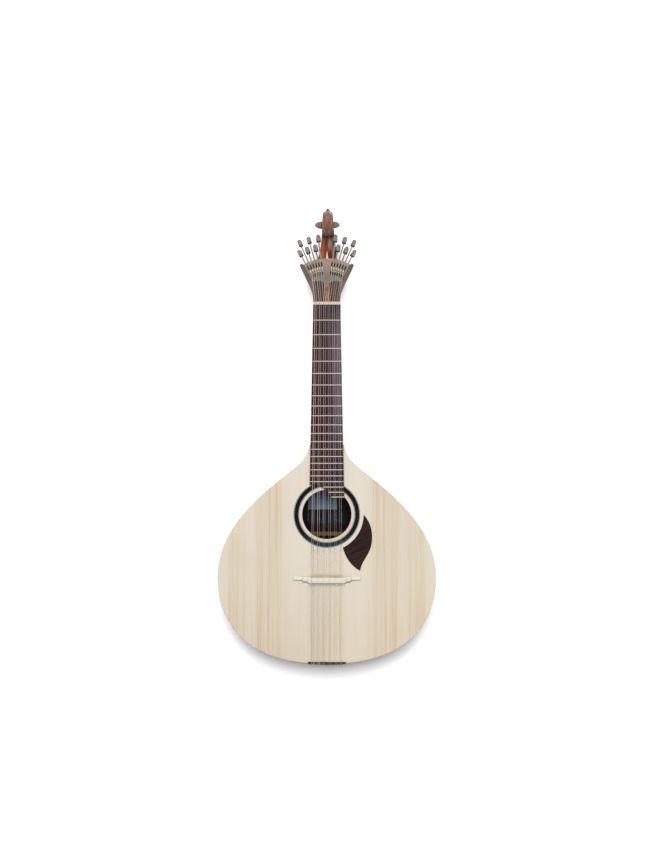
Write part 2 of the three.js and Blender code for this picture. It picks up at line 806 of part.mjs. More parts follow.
// Side view of the stem and volute: the back runs up into a spiral that curls over the front
function scrollSide() {
  const shape = new THREE.Shape();
  const [backY, backZ] = spiralPoint(0);
  const base = arcInnerRadius - recessDepth;
  shape.moveTo(base, -headThickness);
  shape.bezierCurveTo(
    THREE.MathUtils.lerp(base, backY, 0.4),
    -headThickness,
    THREE.MathUtils.lerp(base, backY, 0.7),
    backZ,
    backY,
    backZ,
  );
  for (let degrees = 18; degrees <= 324; degrees += 18) shape.lineTo(...spiralPoint(degrees));
  const [throatY, throatZ] = spiralPoint(324);
  const front = backZ + stemThroat;
  shape.lineTo(throatY - stemBackRise, Math.min(throatZ, front) - seatGap);
  shape.quadraticCurveTo(
    THREE.MathUtils.lerp(base, backY, 0.5),
    front - stemBackRise,
    arcOuterRadius - fanCentreBehind,
    -recessDepth - seatGap,
  );
  shape.lineTo(base, -recessDepth - seatGap);
  return shape;
}

// Half width of the stem along the head: broad at the block, slender under the volute
function stemHalfWidthAt(y) {
  const base = arcOuterRadius - fanCentreBehind;
  const rise = THREE.MathUtils.clamp((y - base) / (scrollCentreReach - base), 0, 1);
  return scrollHalfWidth + (stemHalfWidth - scrollHalfWidth) * (1 - rise) ** 1.7;
}

// Section of the volute's band from its middle to its edge: shares of the ridge's and crest's height
const ridgeShares = [1, 0.6, -0.5, -0.6, 0];
const crestShares = [1, 0.8, 0.1, 0, 0];

// The winding groove in one side of the volute, widest at its mouth and ending at the ear
const grooveShares = [
  [60, 0.84, 0.7],
  [110, 0.82, 0.62],
  [160, 0.8, 0.57],
  [210, 0.79, 0.54],
  [260, 0.76, 0.52],
  [310, 0.66, 0.53],
];

// The ears, pear-shaped buds on both sides of the volute: shares of their radius and reach
const earShares = [
  [0, -1],
  [0.5, -0.97],
  [0.8, -0.86],
  [1, -0.4],
  [1, 0.4],
  [0.8, 0.86],
  [0.5, 0.97],
  [0, 1],
];

function grooveTool(side) {
  const outer = grooveShares.map(([degrees, share]) => spiralPoint(degrees, share));
  const inner = grooveShares.map(([degrees, , share]) => spiralPoint(degrees, share)).reverse();
  const edges = [scrollHalfWidth - coilStep, scrollHalfWidth + overrun].map((x) => x * side);
  return solidFrom(carriedAlongX(polygon([...outer, ...inner]), Math.min(...edges), Math.max(...edges)));
}

function makeHead() {
  const plan = solidFrom(prism(headPlan(), -headThickness - overrun, 0));
  const side = solidFrom(
    carriedAlongX(headSide(), -headFlareHalfWidth - overrun, headFlareHalfWidth + overrun),
  );
  const recess = fanSector(recessInnerRadius, arcOuterRadius + overrun, recessHalfAngle, 12);
  const body = plan.intersect(side).subtract(solidFrom(prism(recess, -recessDepth, overrun)));
  const stem = carriedAlongX(scrollSide(), -1, 1, 8);
  moveVertices(stem, (point) => {
    const half = stemHalfWidthAt(point.y);
    const column = Math.round(Math.abs(point.x) * 4);
    const fromEye = new THREE.Vector2(point.y - scrollCentreReach, point.z - scrollCentreRise);
    const onCoil = fromEye.y > 0 || fromEye.x > 0;
    const rise = Math.max(0, 1 - (fromEye.angle() / crestReach) ** 2);
    const fall = Math.max(0, 1 - ((2 * Math.PI - fromEye.angle()) / crestReach) ** 2);
    const crest = crestHeight * crestShares[column] * Math.max(rise, fall);
    const carve = onCoil ? scrollRidge * ridgeShares[column] + crest : 0;
    const reach = (fromEye.length() + carve) / fromEye.length();
    point.y = scrollCentreReach + fromEye.x * reach;
    point.z = scrollCentreRise + fromEye.y * reach;
    point.x *= half;
  });
  const ears = turned(
    earShares.map(([radius, along]) => [earRadius * radius, earReach * along]),
    12,
  ).rotateZ(Math.PI / 2);
  ears.translate(0, scrollCentreReach, scrollCentreRise);
  const carved = solidFrom(stem).subtract(grooveTool(1)).subtract(grooveTool(-1));
  return body.add(carved).add(solidFrom(ears));
}

// The slotted plate that covers the screws
function makeFanPlate() {
  const low = plateBottomReach;
  const sides = (side) => [
    [side * plateBottomHalfWidth, low],
    [side * plateBayHalfWidth, low - plateTipDrop / 8],
  ];
  const [rightCorner, rightBay] = sides(1);
  const [leftCorner, leftBay] = sides(-1);
  const shape = polygon([
    rightCorner,
    ...arcPoints(arcOuterRadius, fanHalfAngle, -fanHalfAngle, 16),
    leftCorner,
    leftBay,
    [-plateBayHalfWidth / 3, low - plateTipDrop * 0.8],
    [0, low - plateTipDrop],
    [plateBayHalfWidth / 3, low - plateTipDrop * 0.8],
    rightBay,
  ]);
  const outer = arcInnerRadius - slotMargin - slotWidth / 2;
  const inner = arcInnerRadius - slotMargin - slotLength + slotWidth / 2;
  for (const angle of spokeAngles()) {
    const slot = new THREE.Path();
    slot.absarc(...fanPoint(angle, outer), slotWidth / 2, Math.PI - angle, -angle, true);
    slot.absarc(...fanPoint(angle, inner), slotWidth / 2, -angle, -Math.PI - angle, true);
    shape.holes.push(slot);
  }
  return prism(shape, seatGap, seatGap + plateThickness, 2);
}

// Angles of the twelve screws, bass to treble, from the head's middle line
function spokeAngles() {
  const angles = [];
  for (let i = 0; i < spokesPerSide; i++) angles.push(firstSpoke + i * spokePitch);
  return [...angles.map((angle) => -angle).reverse(), ...angles];
}

// The arc that carries the screws, one bore for each
function makeFanArc() {
  const halfAngle = outerSpoke + (collarRadius - seatGap / 2) / arcOuterRadius;
  const sector = fanSector(arcInnerRadius, arcOuterRadius, halfAngle, 16);
  let arc = solidFrom(prism(sector, seatGap - recessDepth, -seatGap));
  const boreRadius = (shankRadius + boreClearance) / Math.cos(Math.PI / 8);
  for (const angle of spokeAngles()) {
    const length = arcThickness + 2 * overrun;
    const bore = new THREE.CylinderGeometry(boreRadius, boreRadius, length, 8);
    bore.translate(0, (arcInnerRadius + arcOuterRadius) / 2, 0);
    bore.rotateZ(-angle).translate(0, -fanCentreBehind, -screwDrop);
    arc = arc.subtract(solidFrom(bore));
  }
  return arc;
}

// The knob's profile: shares of its radius and length
const knobShares = [
  [0, 0],
  [0.92, 0],
  [1, 0.16],
  [1, 0.6],
  [0.88, 0.8],
  [0.5, 0.95],
  [0.36, 1.03],
  [0, 1.1],
];

// One tuning screw along Y: threaded shank, a collar on each side of the arc, and a fluted knob
function makeScrew(knobStart) {
  const collarInner = arcInnerRadius - seatGap;
  const collarOuter = arcOuterRadius + seatGap;
  const shank = turned(
    [
      [0, screwTipRadius],
      [screwRadius, screwTipRadius + screwRadius / 2],
      [screwRadius, collarInner - collarThickness],
      [collarRadius, collarInner - collarThickness],
      [collarRadius, collarInner],
      [shankRadius, collarInner],
      [shankRadius, collarOuter],
      [collarRadius, collarOuter],
      [collarRadius, collarOuter + collarThickness],
      [shankRadius, collarOuter + collarThickness],
      [shankRadius, knobStart + knobRadius],
      [0, knobStart + knobRadius],
    ],
    6,
  );
  const profile = knobShares.map(([out, along]) => [knobRadius * out, knobStart + knobLength * along]);
  const knob = turned(profile, 12);
  moveVertices(knob, (point) => {
    const flute = Math.round((Math.atan2(point.z, point.x) * 6) / Math.PI) % 2 ? 0.84 : 1;
    point.x *= flute;
    point.z *= flute;
  });
  return solidFrom(shank).add(solidFrom(knob));
}

// One string hook: a bored block on the screw, with a stem through the plate and a lip on top
function makeHook() {
  const low = -hookHeight / 2;
  const high = hookHeight / 2;
  const top = screwDrop + hookStemRise;
  const width = hookWidth / 2;
  const body = block(-width, width, -hookLength / 2, hookLength / 2, low, high);
  const stem = block(
    -hookStemWidth / 2,
    hookStemWidth / 2,
    -hookStemLength / 2,
    hookStemLength / 2,
    0,
    top,
  );
  const lip = block(
    -hookStemWidth / 2,
    hookStemWidth / 2,
    -hookStemLength / 2,
    hookStemLength / 2 + hookLipLength,
    top - hookLipHeight,
    top,
  );
  const boreRadius = (screwRadius + boreClearance) / Math.cos(Math.PI / 8);
  const bore = new THREE.CylinderGeometry(boreRadius, boreRadius, hookLength + 2 * overrun, 8);
  return body.add(stem).add(lip).subtract(solidFrom(bore));
}

addSolid(head, "head", makeHead(), finishes.neckwood);
addPiece(head, "fan_plate", makeFanPlate(), finishes.plate);
addSolid(head, "fan_arc", makeFanArc(), finishes.plate);

const hookRestRadius = arcInnerRadius - hookRestInset;
const hookGeometry = geometryFrom(makeHook());
const longScrew = geometryFrom(makeScrew(longKnobStart));
const shortScrew = geometryFrom(makeScrew(shortKnobStart));

spokeAngles().forEach((angle, index) => {
  const spoke = new THREE.Group();
  spoke.position.set(0, -fanCentreBehind, -screwDrop);
  spoke.rotation.z = -angle;
  head.add(spoke);
  const fromMiddle = index < spokesPerSide ? spokesPerSide - 1 - index : index - spokesPerSide;
  const screw = fromMiddle % 2 ? shortScrew : longScrew;
  addPiece(spoke, `tuning_screw_${index + 1}`, screw, finishes.nickel);
  addPiece(spoke, `hook_${index + 1}`, hookGeometry, finishes.plate).position.y = hookRestRadius;
});

// The ends of the bridge's centre block: shares of its depth behind and of its half length
const blockBackShare = 0.5;
const blockShoulderShare = 0.85;

// Bridge: a slender bar whose centre block stands high, sloped in front, on two feet
function makeBridge() {
  const foot = bodyDepth + glueGap;
  const wing = new THREE.Shape();
  wing.moveTo(bridgeHalfLength, foot);
  wing.lineTo(bridgeHalfLength, foot + bridgeWingTipHeight);
  wing.quadraticCurveTo(
    bridgeBlockHalfLength,
    foot + bridgeWingTipHeight,
    bridgeBlockHalfLength,
    foot + bridgeWingHeight,
  );
  wing.lineTo(-bridgeBlockHalfLength, foot + bridgeWingHeight);
  wing.quadraticCurveTo(
    -bridgeBlockHalfLength,
    foot + bridgeWingTipHeight,
    -bridgeHalfLength,
    foot + bridgeWingTipHeight,
  );
  wing.lineTo(-bridgeHalfLength, foot);
  const arms = carriedAlongY(wing, bridgeFront - bridgeWingDepth, bridgeFront, 4);
  const crest = foot + bridgeHeight;
  const rear = [-bridgeBack, foot + bridgeHeight / 2];
  const section = polygon([
    [bridgeFront, foot],
    [bridgeFront, foot + bridgeWingHeight / 3],
    [bridgeCrest / 2, crest],
    [-bridgeCrest, crest],
    rear,
    [-bridgeBack, foot],
  ]);
  const tower = carriedAlongX(section, -bridgeBlockHalfLength, bridgeBlockHalfLength, 4);
  moveVertices(tower, (point) => {
    const outer = Math.abs(point.x) === bridgeBlockHalfLength;
    if (outer && point.y < -bridgeCrest) point.y *= blockBackShare;
    if (outer && point.z > foot + bridgeWingHeight) point.z = foot + bridgeWingHeight;
    if (Math.abs(point.x) === bridgeBlockHalfLength / 2) point.x *= 2 * blockShoulderShare;
  });
  const arch = new THREE.Shape();
  arch.moveTo(-bridgeArchHalfLength, foot - overrun);
  arch.lineTo(bridgeArchHalfLength, foot - overrun);
  arch.lineTo(bridgeArchHalfLength, foot);
  arch.quadraticCurveTo(0, foot + 2 * bridgeArchHeight, -bridgeArchHalfLength, foot);
  const gap = carriedAlongY(arch, -bridgeBack - overrun, bridgeFront + overrun, 4);
  return solidFrom(arms).add(solidFrom(tower)).subtract(solidFrom(gap));
}

// Tail saddle: a hardwood strip let into the soundboard's edge
function makeTailSaddle() {
  const top = bodyDepth + saddleRise;
  const proud = solidFrom(prism(rimShape(-saddleProud), soundboardBottom, top));
  const far = saddleDepth - bodyTailReach;
  const near = -bodyTailReach - overrun;
  const cutter = block(-saddleHalfLength, saddleHalfLength, near, far, 0, top + overrun);
  return proud.intersect(cutter);
}

const railTop = bodyDepth - railDrop;
const studHeight = railTop - studRow;

// String rail: a bent plate on the tail with a headed stud for each string
function makeStringRail() {
  const band = rimShape(-seatGap - railThickness);
  band.holes.push(new THREE.Path(rimOutline(-seatGap)));
  const low = railTop - railHeight;
  const cutter = block(
    -railHalfLength,
    railHalfLength,
    -bodyTailReach - railThickness - overrun,
    -bodyTailReach / 2,
    low - overrun,
    railTop + overrun,
  );
  let rail = solidFrom(prism(band, low, railTop)).intersect(cutter);
  for (let index = 0; index < stringCount; index++) {
    const x = studSide(index);
    const face = tailEdgeAt(x) - seatGap - railThickness;
    const stud = turned(
      [
        [0, -railThickness / 2],
        [studRadius, -railThickness / 2],
        [studRadius, studReach],
        [studHeadRadius, studReach],
        [studHeadRadius, studReach + studHeadThickness],
        [0, studReach + studHeadThickness],
      ],
      6,
    );
    rail = rail.add(solidFrom(stud.rotateX(Math.PI).translate(x, face, studHeight)));
  }
  return rail;
}

addSolid(instrument, "bridge", makeBridge(), finishes.maple);
addSolid(instrument, "tail_saddle", makeTailSaddle(), finishes.rosewood);
addSolid(instrument, "string_rail", makeStringRail(), finishes.plate);

// A path that steps from knot to knot and turns half way at each
class KnottedPath extends THREE.Curve {
  constructor(knots) {
    super();
    this.knots = knots;
  }

  getPoint(share) {
    return this.knots[Math.round(share * (this.knots.length - 1))].clone();
  }

  getPointAt(share) {
    return this.getPoint(share);
  }

  getTangentAt(share) {
    const last = this.knots.length - 1;
    const index = Math.round(share * last);
    const before = this.knots[Math.max(index - 1, 0)];
    const here = this.knots[index];
    const after = this.knots[Math.min(index + 1, last)];
    const into = here.clone().sub(before).normalize();
    const out = after.clone().sub(here).normalize();
    return into.add(out).normalize();
  }
}

// Knots of one string: round its hook, over nut, bridge and tail saddle, and round its stud
function stringKnots(index, angle) {
  const radius = stringRadii[index];
  const clear = radius + 2 * stringGap;
  const onHook = (x, y) => {
    const wide = hookStemWidth / 2 + clear;
    const long = hookStemLength / 2 + clear;
    const place = new THREE.Vector3(x * wide, hookRestRadius + y * long, 0);
    const up = seatGap + plateThickness + clear;
    place.applyAxisAngle(new THREE.Vector3(0, 0, 1), -angle);
    return place.add(new THREE.Vector3(0, -fanCentreBehind, up)).applyMatrix4(head.matrix);
  };
  const nutX = stringSide(index, courseSpacingNut);
  const bridgeX = stringSide(index, courseSpacingBridge);
  const nutZ = nutSlotFloor + radius + stringGap;
  const bridgeZ = bodyDepth + glueGap + bridgeHeight + radius + stringGap;
  const studX = studSide(index);
  const tailY = tailEdgeAt(bridgeX);
  const edgeZ = bodyDepth + saddleRise + radius + stringGap;
  const loopY = tailEdgeAt(studX) - seatGap - railThickness - studReach / 2;
  const wrap = studRadius + clear;
  const roundStud = (degrees) => {
    const turn = THREE.MathUtils.degToRad(degrees);
    return new THREE.Vector3(
      studX + wrap * Math.cos(turn),
      loopY,
      studHeight + wrap * Math.sin(turn),
    );
  };
  return [
    onHook(-1.3, -0.4),
    onHook(-1, 0.6),
    onHook(-0.5, 1.25),
    onHook(0.5, 1.25),
    onHook(1, 0.6),
    onHook(1, -0.9),
    new THREE.Vector3(nutX, headStartY, nutZ),
    new THREE.Vector3(nutX, scaleLength, nutZ),
    new THREE.Vector3(bridgeX, bridgeCrest / 2, bridgeZ),
    new THREE.Vector3(bridgeX, -bridgeCrest, bridgeZ),
    new THREE.Vector3(bridgeX, tailY + saddleDepth / 2, edgeZ),
    new THREE.Vector3(bridgeX, tailY - saddleProud - clear / 2, edgeZ),
    new THREE.Vector3(studX + wrap / 2, loopY, railTop + studHeadRadius),
    ...[10, -40, -90, -140, 170].map(roundStud),
  ];
}

function makeString(index, angle) {
  const knots = stringKnots(index, angle);
  const section = new THREE.Shape();
  const sides = 5;
  for (let i = 0; i < sides; i++) {
    const turn = (2 * Math.PI * i) / sides;
    const place = [stringRadii[index] * Math.cos(turn), stringRadii[index] * Math.sin(turn)];
    if (i) section.lineTo(...place);
    else section.moveTo(...place);
  }
  const options = { steps: knots.length - 1, bevelEnabled: false, extrudePath: new KnottedPath(knots) };
  return new THREE.ExtrudeGeometry(section, options);
}

head.updateMatrix();
spokeAngles().forEach((angle, index) => {
  addPiece(instrument, `string_${index + 1}`, makeString(index, angle), finishes.wire);
});

export default instrument;
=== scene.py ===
"""Looks of a twelve-string Portuguese guitar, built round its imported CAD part.

Sizes are in millimetres, as on a luthier's drawing, and each piece is brought to metres when it
leaves the bench. The frame is the part's: +Z out of the soundboard, +Y to the head, +X to the
treble side, the origin under the bridge's string line.
"""

import logging
from dataclasses import dataclass, field
from enum import Enum
from math import atan2, copysign, cos, hypot, pi, radians, sin, sqrt, tan
from typing import Callable, Optional, Sequence, Union

import bmesh
import bpy
from bmesh.types import BMEdge, BMFace, BMVert
from mathutils import Matrix, Vector
from mathutils.geometry import interpolate_bezier


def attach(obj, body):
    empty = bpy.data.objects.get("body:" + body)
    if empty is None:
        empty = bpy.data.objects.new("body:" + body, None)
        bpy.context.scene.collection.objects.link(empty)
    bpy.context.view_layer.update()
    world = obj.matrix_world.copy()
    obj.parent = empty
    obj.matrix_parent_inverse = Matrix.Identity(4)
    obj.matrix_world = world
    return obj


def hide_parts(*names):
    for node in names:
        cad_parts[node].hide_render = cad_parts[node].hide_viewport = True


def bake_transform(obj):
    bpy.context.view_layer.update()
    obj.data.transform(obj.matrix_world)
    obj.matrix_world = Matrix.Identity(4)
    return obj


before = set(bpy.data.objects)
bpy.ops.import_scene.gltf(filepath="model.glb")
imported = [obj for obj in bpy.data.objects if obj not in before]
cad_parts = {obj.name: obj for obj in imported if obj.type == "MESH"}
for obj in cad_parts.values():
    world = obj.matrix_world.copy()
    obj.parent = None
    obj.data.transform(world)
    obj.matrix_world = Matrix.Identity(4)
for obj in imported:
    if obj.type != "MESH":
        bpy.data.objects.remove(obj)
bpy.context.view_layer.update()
LOG = logging.getLogger("guitar")
MILLIMETRE = 0.001
STUDIO_LIGHT = 2.0
SKY_LIGHT = 0.5
Colour = tuple[float, float, float]
Pair = tuple[float, float]
Section = list[Vector]
Stop = tuple[float, Colour]


# Shader tools


def linear(red: int, green: int, blue: int) -> Colour:
    """Gives the linear colour of a surface that shows an 8-bit colour under the studio's light.

    Args:
        red: the red part, from 0 to 255, as the others.
        green: the green part.
        blue: the blue part.

    Returns:
        The colour.
    """
    parts = [part / 255 for part in (red, green, blue)]
    low, high = 0.04045, 2.4
    seen = [p / 12.92 if p <= low else ((p + 0.055) / 1.055) ** high for p in parts]
    return tuple(part / STUDIO_LIGHT for part in seen)


def gleaming(colour: Colour, metallic: float) -> Colour:
    """Brightens a colour for a metal, which mirrors the sky and not the lamp."""
    light = STUDIO_LIGHT + (SKY_LIGHT - STUDIO_LIGHT) * metallic
    return tuple(min(0.95, part * STUDIO_LIGHT / light) for part in colour)


class Value:
    """A number socket that stands in Python sums, each of which adds a Math node."""

    def __init__(self, bench: "Shader", socket: bpy.types.NodeSocket) -> None:
        """Wraps a socket of a bench's material."""
        self.bench = bench
        self.socket = socket

    def _sum(self, operation: str, first: "Operand", second: "Operand") -> "Value":
        """Adds the Math node of one sum."""
        settings = {"operation": operation}
        node = self.bench.node("ShaderNodeMath", settings, {0: first, 1: second})
        return Value(self.bench, node.outputs[0])

    def __add__(self, other: "Operand") -> "Value":
        """Gives self + other."""
        return self._sum("ADD", self, other)

    def __radd__(self, other: "Operand") -> "Value":
        """Gives other + self."""
        return self._sum("ADD", other, self)

    def __sub__(self, other: "Operand") -> "Value":
        """Gives self - other."""
        return self._sum("SUBTRACT", self, other)

    def __rsub__(self, other: "Operand") -> "Value":
        """Gives other - self."""
        return self._sum("SUBTRACT", other, self)

    def __mul__(self, other: "Operand") -> "Value":
        """Gives self * other."""
        return self._sum("MULTIPLY", self, other)

    def __truediv__(self, other: "Operand") -> "Value":
        """Gives self / other."""
        return self._sum("DIVIDE", self, other)

    def __pow__(self, other: "Operand") -> "Value":
        """Gives self ** other."""
        return self._sum("POWER", self, other)

    def __abs__(self) -> "Value":
        """Gives the size of self without its sign."""
        return self._sum("ABSOLUTE", self, 0.0)

    def below(self, limit: float) -> "Value":
        """Gives 1 where self is less than a limit and 0 elsewhere."""
        return self._sum("LESS_THAN", self, limit)

    def sine(self) -> "Value":
        """Gives the sine of self."""
        return self._sum("SINE", self, 0.0)

    def most(self, other: "Operand") -> "Value":
        """Gives the greater of self and other."""
        return self._sum("MAXIMUM", self, other)

    def between(self, low: float, high: float) -> "Value":
        """Gives 0 at a low value, 1 at a high one and an even slope between them.

        Args:
            low: the value that gives 0.
            high: the value that gives 1.

        Returns:
            The value on the slope.
        """
        settings = {"clamp": True}
        inputs = {"Value": self, "From Min": low, "From Max": high}
        node = self.bench.node("ShaderNodeMapRange", settings, inputs)
        return Value(self.bench, node.outputs["Result"])


Operand = Union[Value, float]
Paint = Union[Colour, bpy.types.NodeSocket]


class Shader:
    """The bench on which one material is made."""

    def __init__(self, name: str) -> None:
        """Starts an empty material.

        Args:
            name: the material's name.
        """
        self.material = bpy.data.materials.new(name)
        self.material.use_nodes = True
        self.tree = self.material.node_tree
        self.tree.nodes.clear()

    def node(
        self, kind: str, settings: Optional[dict[str, object]] = None,
        inputs: Optional[dict[Union[int, str], object]] = None,
    ) -> bpy.types.Node:
        """Adds one node.

        Args:
            kind: the node's Blender type.
            settings: what is set on the node first; "stops" are a ramp's places and colours.
            inputs: a value or a link for each socket.

        Returns:
            The node.
        """
        made = self.tree.nodes.new(kind)
        for name, value in (settings or {}).items():
            if name == "stops":
                self._stops(made, value)
            else:
                setattr(made, name, value)
        for key, value in (inputs or {}).items():
            socket = made.inputs[key]
            if isinstance(value, Value):
                self.tree.links.new(value.socket, socket)
            elif isinstance(value, bpy.types.NodeSocket):
                self.tree.links.new(value, socket)
            elif isinstance(value, tuple) and len(value) == 3 and socket.type == "RGBA":
                socket.default_value = (*value, 1.0)
            else:
                socket.default_value = value
        return made

    def _stops(self, ramp: bpy.types.Node, stops: Sequence[Stop]) -> None:
        """Sets a ramp's stops.

        Args:
            ramp: the ramp's node.
            stops: its places and colours.
        """
        elements = ramp.color_ramp.elements
        while len(elements) < len(stops):
            elements.new(1.0)
        for element, (place, colour) in zip(elements, stops):
            element.position = place
            element.color = (*colour, 1.0)

    def ramp(self, factor: Value, stops: Sequence[Stop]) -> bpy.types.NodeSocket:
        """Gives the colours of a ramp along a value."""
        return self.node("ShaderNodeValToRGB", {"stops": stops}, {"Fac": factor}).outputs["Color"]

    def _blend(self, kind: str, factor: Operand, first: Paint, second: Paint) -> bpy.types.NodeSocket:
        """Adds the Mix node of two colours."""
        settings = {"data_type": "RGBA", "blend_type": kind, "clamp_factor": True}
        return self.node("ShaderNodeMix", settings, {0: factor, 6: first, 7: second}).outputs[2]

    def mix(self, factor: Operand, first: Paint, second: Paint) -> bpy.types.NodeSocket:
        """Gives the first colour where the factor is 0 and the second where it is 1."""
        return self._blend("MIX", factor, first, second)

    def shade(self, factor: Operand, colour: Paint, tint: Paint) -> bpy.types.NodeSocket:
        """Multiplies a colour by a tint as far as the factor says."""
        return self._blend("MULTIPLY", factor, colour, tint)

    def places(
        self, stretch: Sequence[float] = (1, 1, 1), turn: Sequence[float] = (0, 0, 0),
        centre: Sequence[float] = (0, 0, 0),
    ) -> bpy.types.NodeSocket:
        """Gives the Object coordinates in millimetres, centred, turned and then stretched.

        Args:
            stretch: the scale along each axis.
            turn: the turn about each axis, in degrees.
            centre: the point that becomes the pattern's origin, in millimetres.

        Returns:
            The vector socket.
        """
        spot = self.node("ShaderNodeTexCoord").outputs["Object"]
        moved = self.node(
            "ShaderNodeVectorMath", {"operation": "MULTIPLY_ADD"},
            {0: spot, 1: (1000, 1000, 1000), 2: tuple(-part for part in centre)},
        ).outputs[0]
        angles = tuple(radians(part) for part in turn)
        turned = self.node(
            "ShaderNodeMapping", {"vector_type": "POINT"}, {"Vector": moved, "Rotation": angles}
        ).outputs[0]
        inputs = {0: turned, 1: tuple(stretch)}
        return self.node("ShaderNodeVectorMath", {"operation": "MULTIPLY"}, inputs).outputs[0]

    def parts(self, vector: bpy.types.NodeSocket) -> tuple[Value, Value, Value]:
        """Gives the three numbers of a vector."""
        made = self.node("ShaderNodeSeparateXYZ", None, {0: vector})
        return tuple(Value(self, made.outputs[i]) for i in range(3))

    def joined(self, x: Operand, y: Operand, z: Operand) -> bpy.types.NodeSocket:
        """Gives the vector of three numbers."""
        return self.node("ShaderNodeCombineXYZ", None, {0: x, 1: y, 2: z}).outputs[0]

    def noise(
        self, vector: bpy.types.NodeSocket, scale: float, detail: float = 3.0, rough: float = 0.55,
        warp: float = 0.0,
    ) -> Value:
        """Gives a noise value, 0.5 on average.

        Args:
            vector: where it is read.
            scale: how many features lie on one unit of the vector.
            detail: the number of finer octaves.
            rough: the strength of each octave, a share of the last.
            warp: how far the noise bends itself.

        Returns:
            The value.
        """
        inputs = {
            "Vector": vector, "Scale": scale, "Detail": detail, "Roughness": rough,
            "Distortion": warp,
        }
        return Value(self, self.node("ShaderNodeTexNoise", None, inputs).outputs[0])

    def finish(
        self, colour: Paint, roughness: Operand, metallic: float = 0.0,
        bump: Optional[Value] = None, depth: float = 0.0, coat: float = 0.0,
        coat_roughness: float = 0.2, specular: float = 0.2,
    ) -> bpy.types.Material:
        """Closes the material with a Principled shader.

        Args:
            colour: the base colour.
            roughness: the roughness.
            metallic: 1 for bare metal.
            bump: the height of the surface's relief, 0 to 1.
            depth: how deep that relief is, in millimetres.
            coat: the weight of a clear coat.
            coat_roughness: the roughness of that coat.
            specular: the strength of plain reflections.

        Returns:
            The material.
        """
        inputs: dict[Union[int, str], object] = {
            "Base Color": colour, "Roughness": roughness, "Metallic": metallic, "Coat Weight": coat,
            "Coat Roughness": coat_roughness, "Specular IOR Level": specular,
        }
        if bump is not None:
            relief = {"Height": bump, "Strength": 1.0, "Distance": depth * MILLIMETRE}
            inputs["Normal"] = self.node("ShaderNodeBump", None, relief).outputs["Normal"]
        shader = self.node("ShaderNodeBsdfPrincipled", None, inputs)
        self.node("ShaderNodeOutputMaterial", None, {"Surface": shader.outputs["BSDF"]})
        return self.material


# Finishes


class Grain(Enum):
    """The axis along which a wood's fibres run."""

    ALONG_X = 0
    ALONG_Y = 1


@dataclass(frozen=True)
class Wood:
    """A straight-grained wood with rings, pores and a finish."""

    name: str
    dark: Colour
    middle: Colour
    light: Colour
    grain: Grain = Grain.ALONG_Y
    turn: tuple[float, float, float] = (0, 0, 0)
    ring_pitch: float = 2.2
    ring_contrast: float = 0.6
    cloud_size: float = 26.0
    figure: float = 0.0
    pores: float = 0.35
    roughness: float = 0.42
    coat: float = 0.08
    relief: float = 0.05
    specular: float = 0.2
    painted_inside_shade: bool = False

    def material(self) -> bpy.types.Material:
        """Makes the material, with painted shade on the back's inner face under the hole."""
        bench = Shader(self.name)
        along = self.grain.value

        def along_grain(length: float) -> bpy.types.NodeSocket:
            """Gives the places, with a pattern drawn out along the fibres."""
            stretch = tuple(length if axis == along else 1.0 for axis in range(3))
            return bench.places(stretch, self.turn)

        rings = bench.noise(along_grain(0.03), 1 / self.ring_pitch, 4, 0.6, 0.6)
        clouds = bench.noise(along_grain(0.25), 1 / self.cloud_size, 3, 0.5)
        fibres = bench.noise(along_grain(0.04), 3.2, 2, 0.6)
        pores = bench.noise(along_grain(0.09), 2.4, 2, 0.5).between(0.62, 0.72)
        tone = (rings - 0.5) * self.ring_contrast + (clouds - 0.5) * 0.7 + 0.5
        if self.figure:
            across = tuple(0.06 if axis != along else 1.0 for axis in range(3))
            curl = bench.noise(bench.places(across, self.turn), 0.16, 2, 0.5, 0.8)
            tone = tone + (curl - 0.5) * self.figure
        tone = tone + (fibres - 0.5) * 0.18
        colour = bench.ramp(tone, [(0.2, self.dark), (0.5, self.middle), (0.8, self.light)])
        colour = bench.shade(pores * self.pores, colour, (0.35, 0.3, 0.28))
        if self.painted_inside_shade:
            # painted shade: the back's inner face round and under the hole is darkened, where little
            # light reaches inside the body
            x, y, z = bench.parts(bench.places())
            seen = (62 - abs(x)).between(0, 5) * (y - 25).between(0, 8) * (150 - y).between(0, 8)
            within = z.between(1.6, 2.2) * (1 - z.between(6, 7))
            colour = bench.shade(seen * within, colour, (0.13, 0.11, 0.11))
        rough = self.roughness + (fibres - 0.5) * 0.16 + pores * 0.12
        height = fibres * 0.6 + rings * 0.4 - pores * 0.8
        sheen = self.specular
        return bench.finish(colour, rough, 0.0, height, self.relief, self.coat, 0.22, sheen)


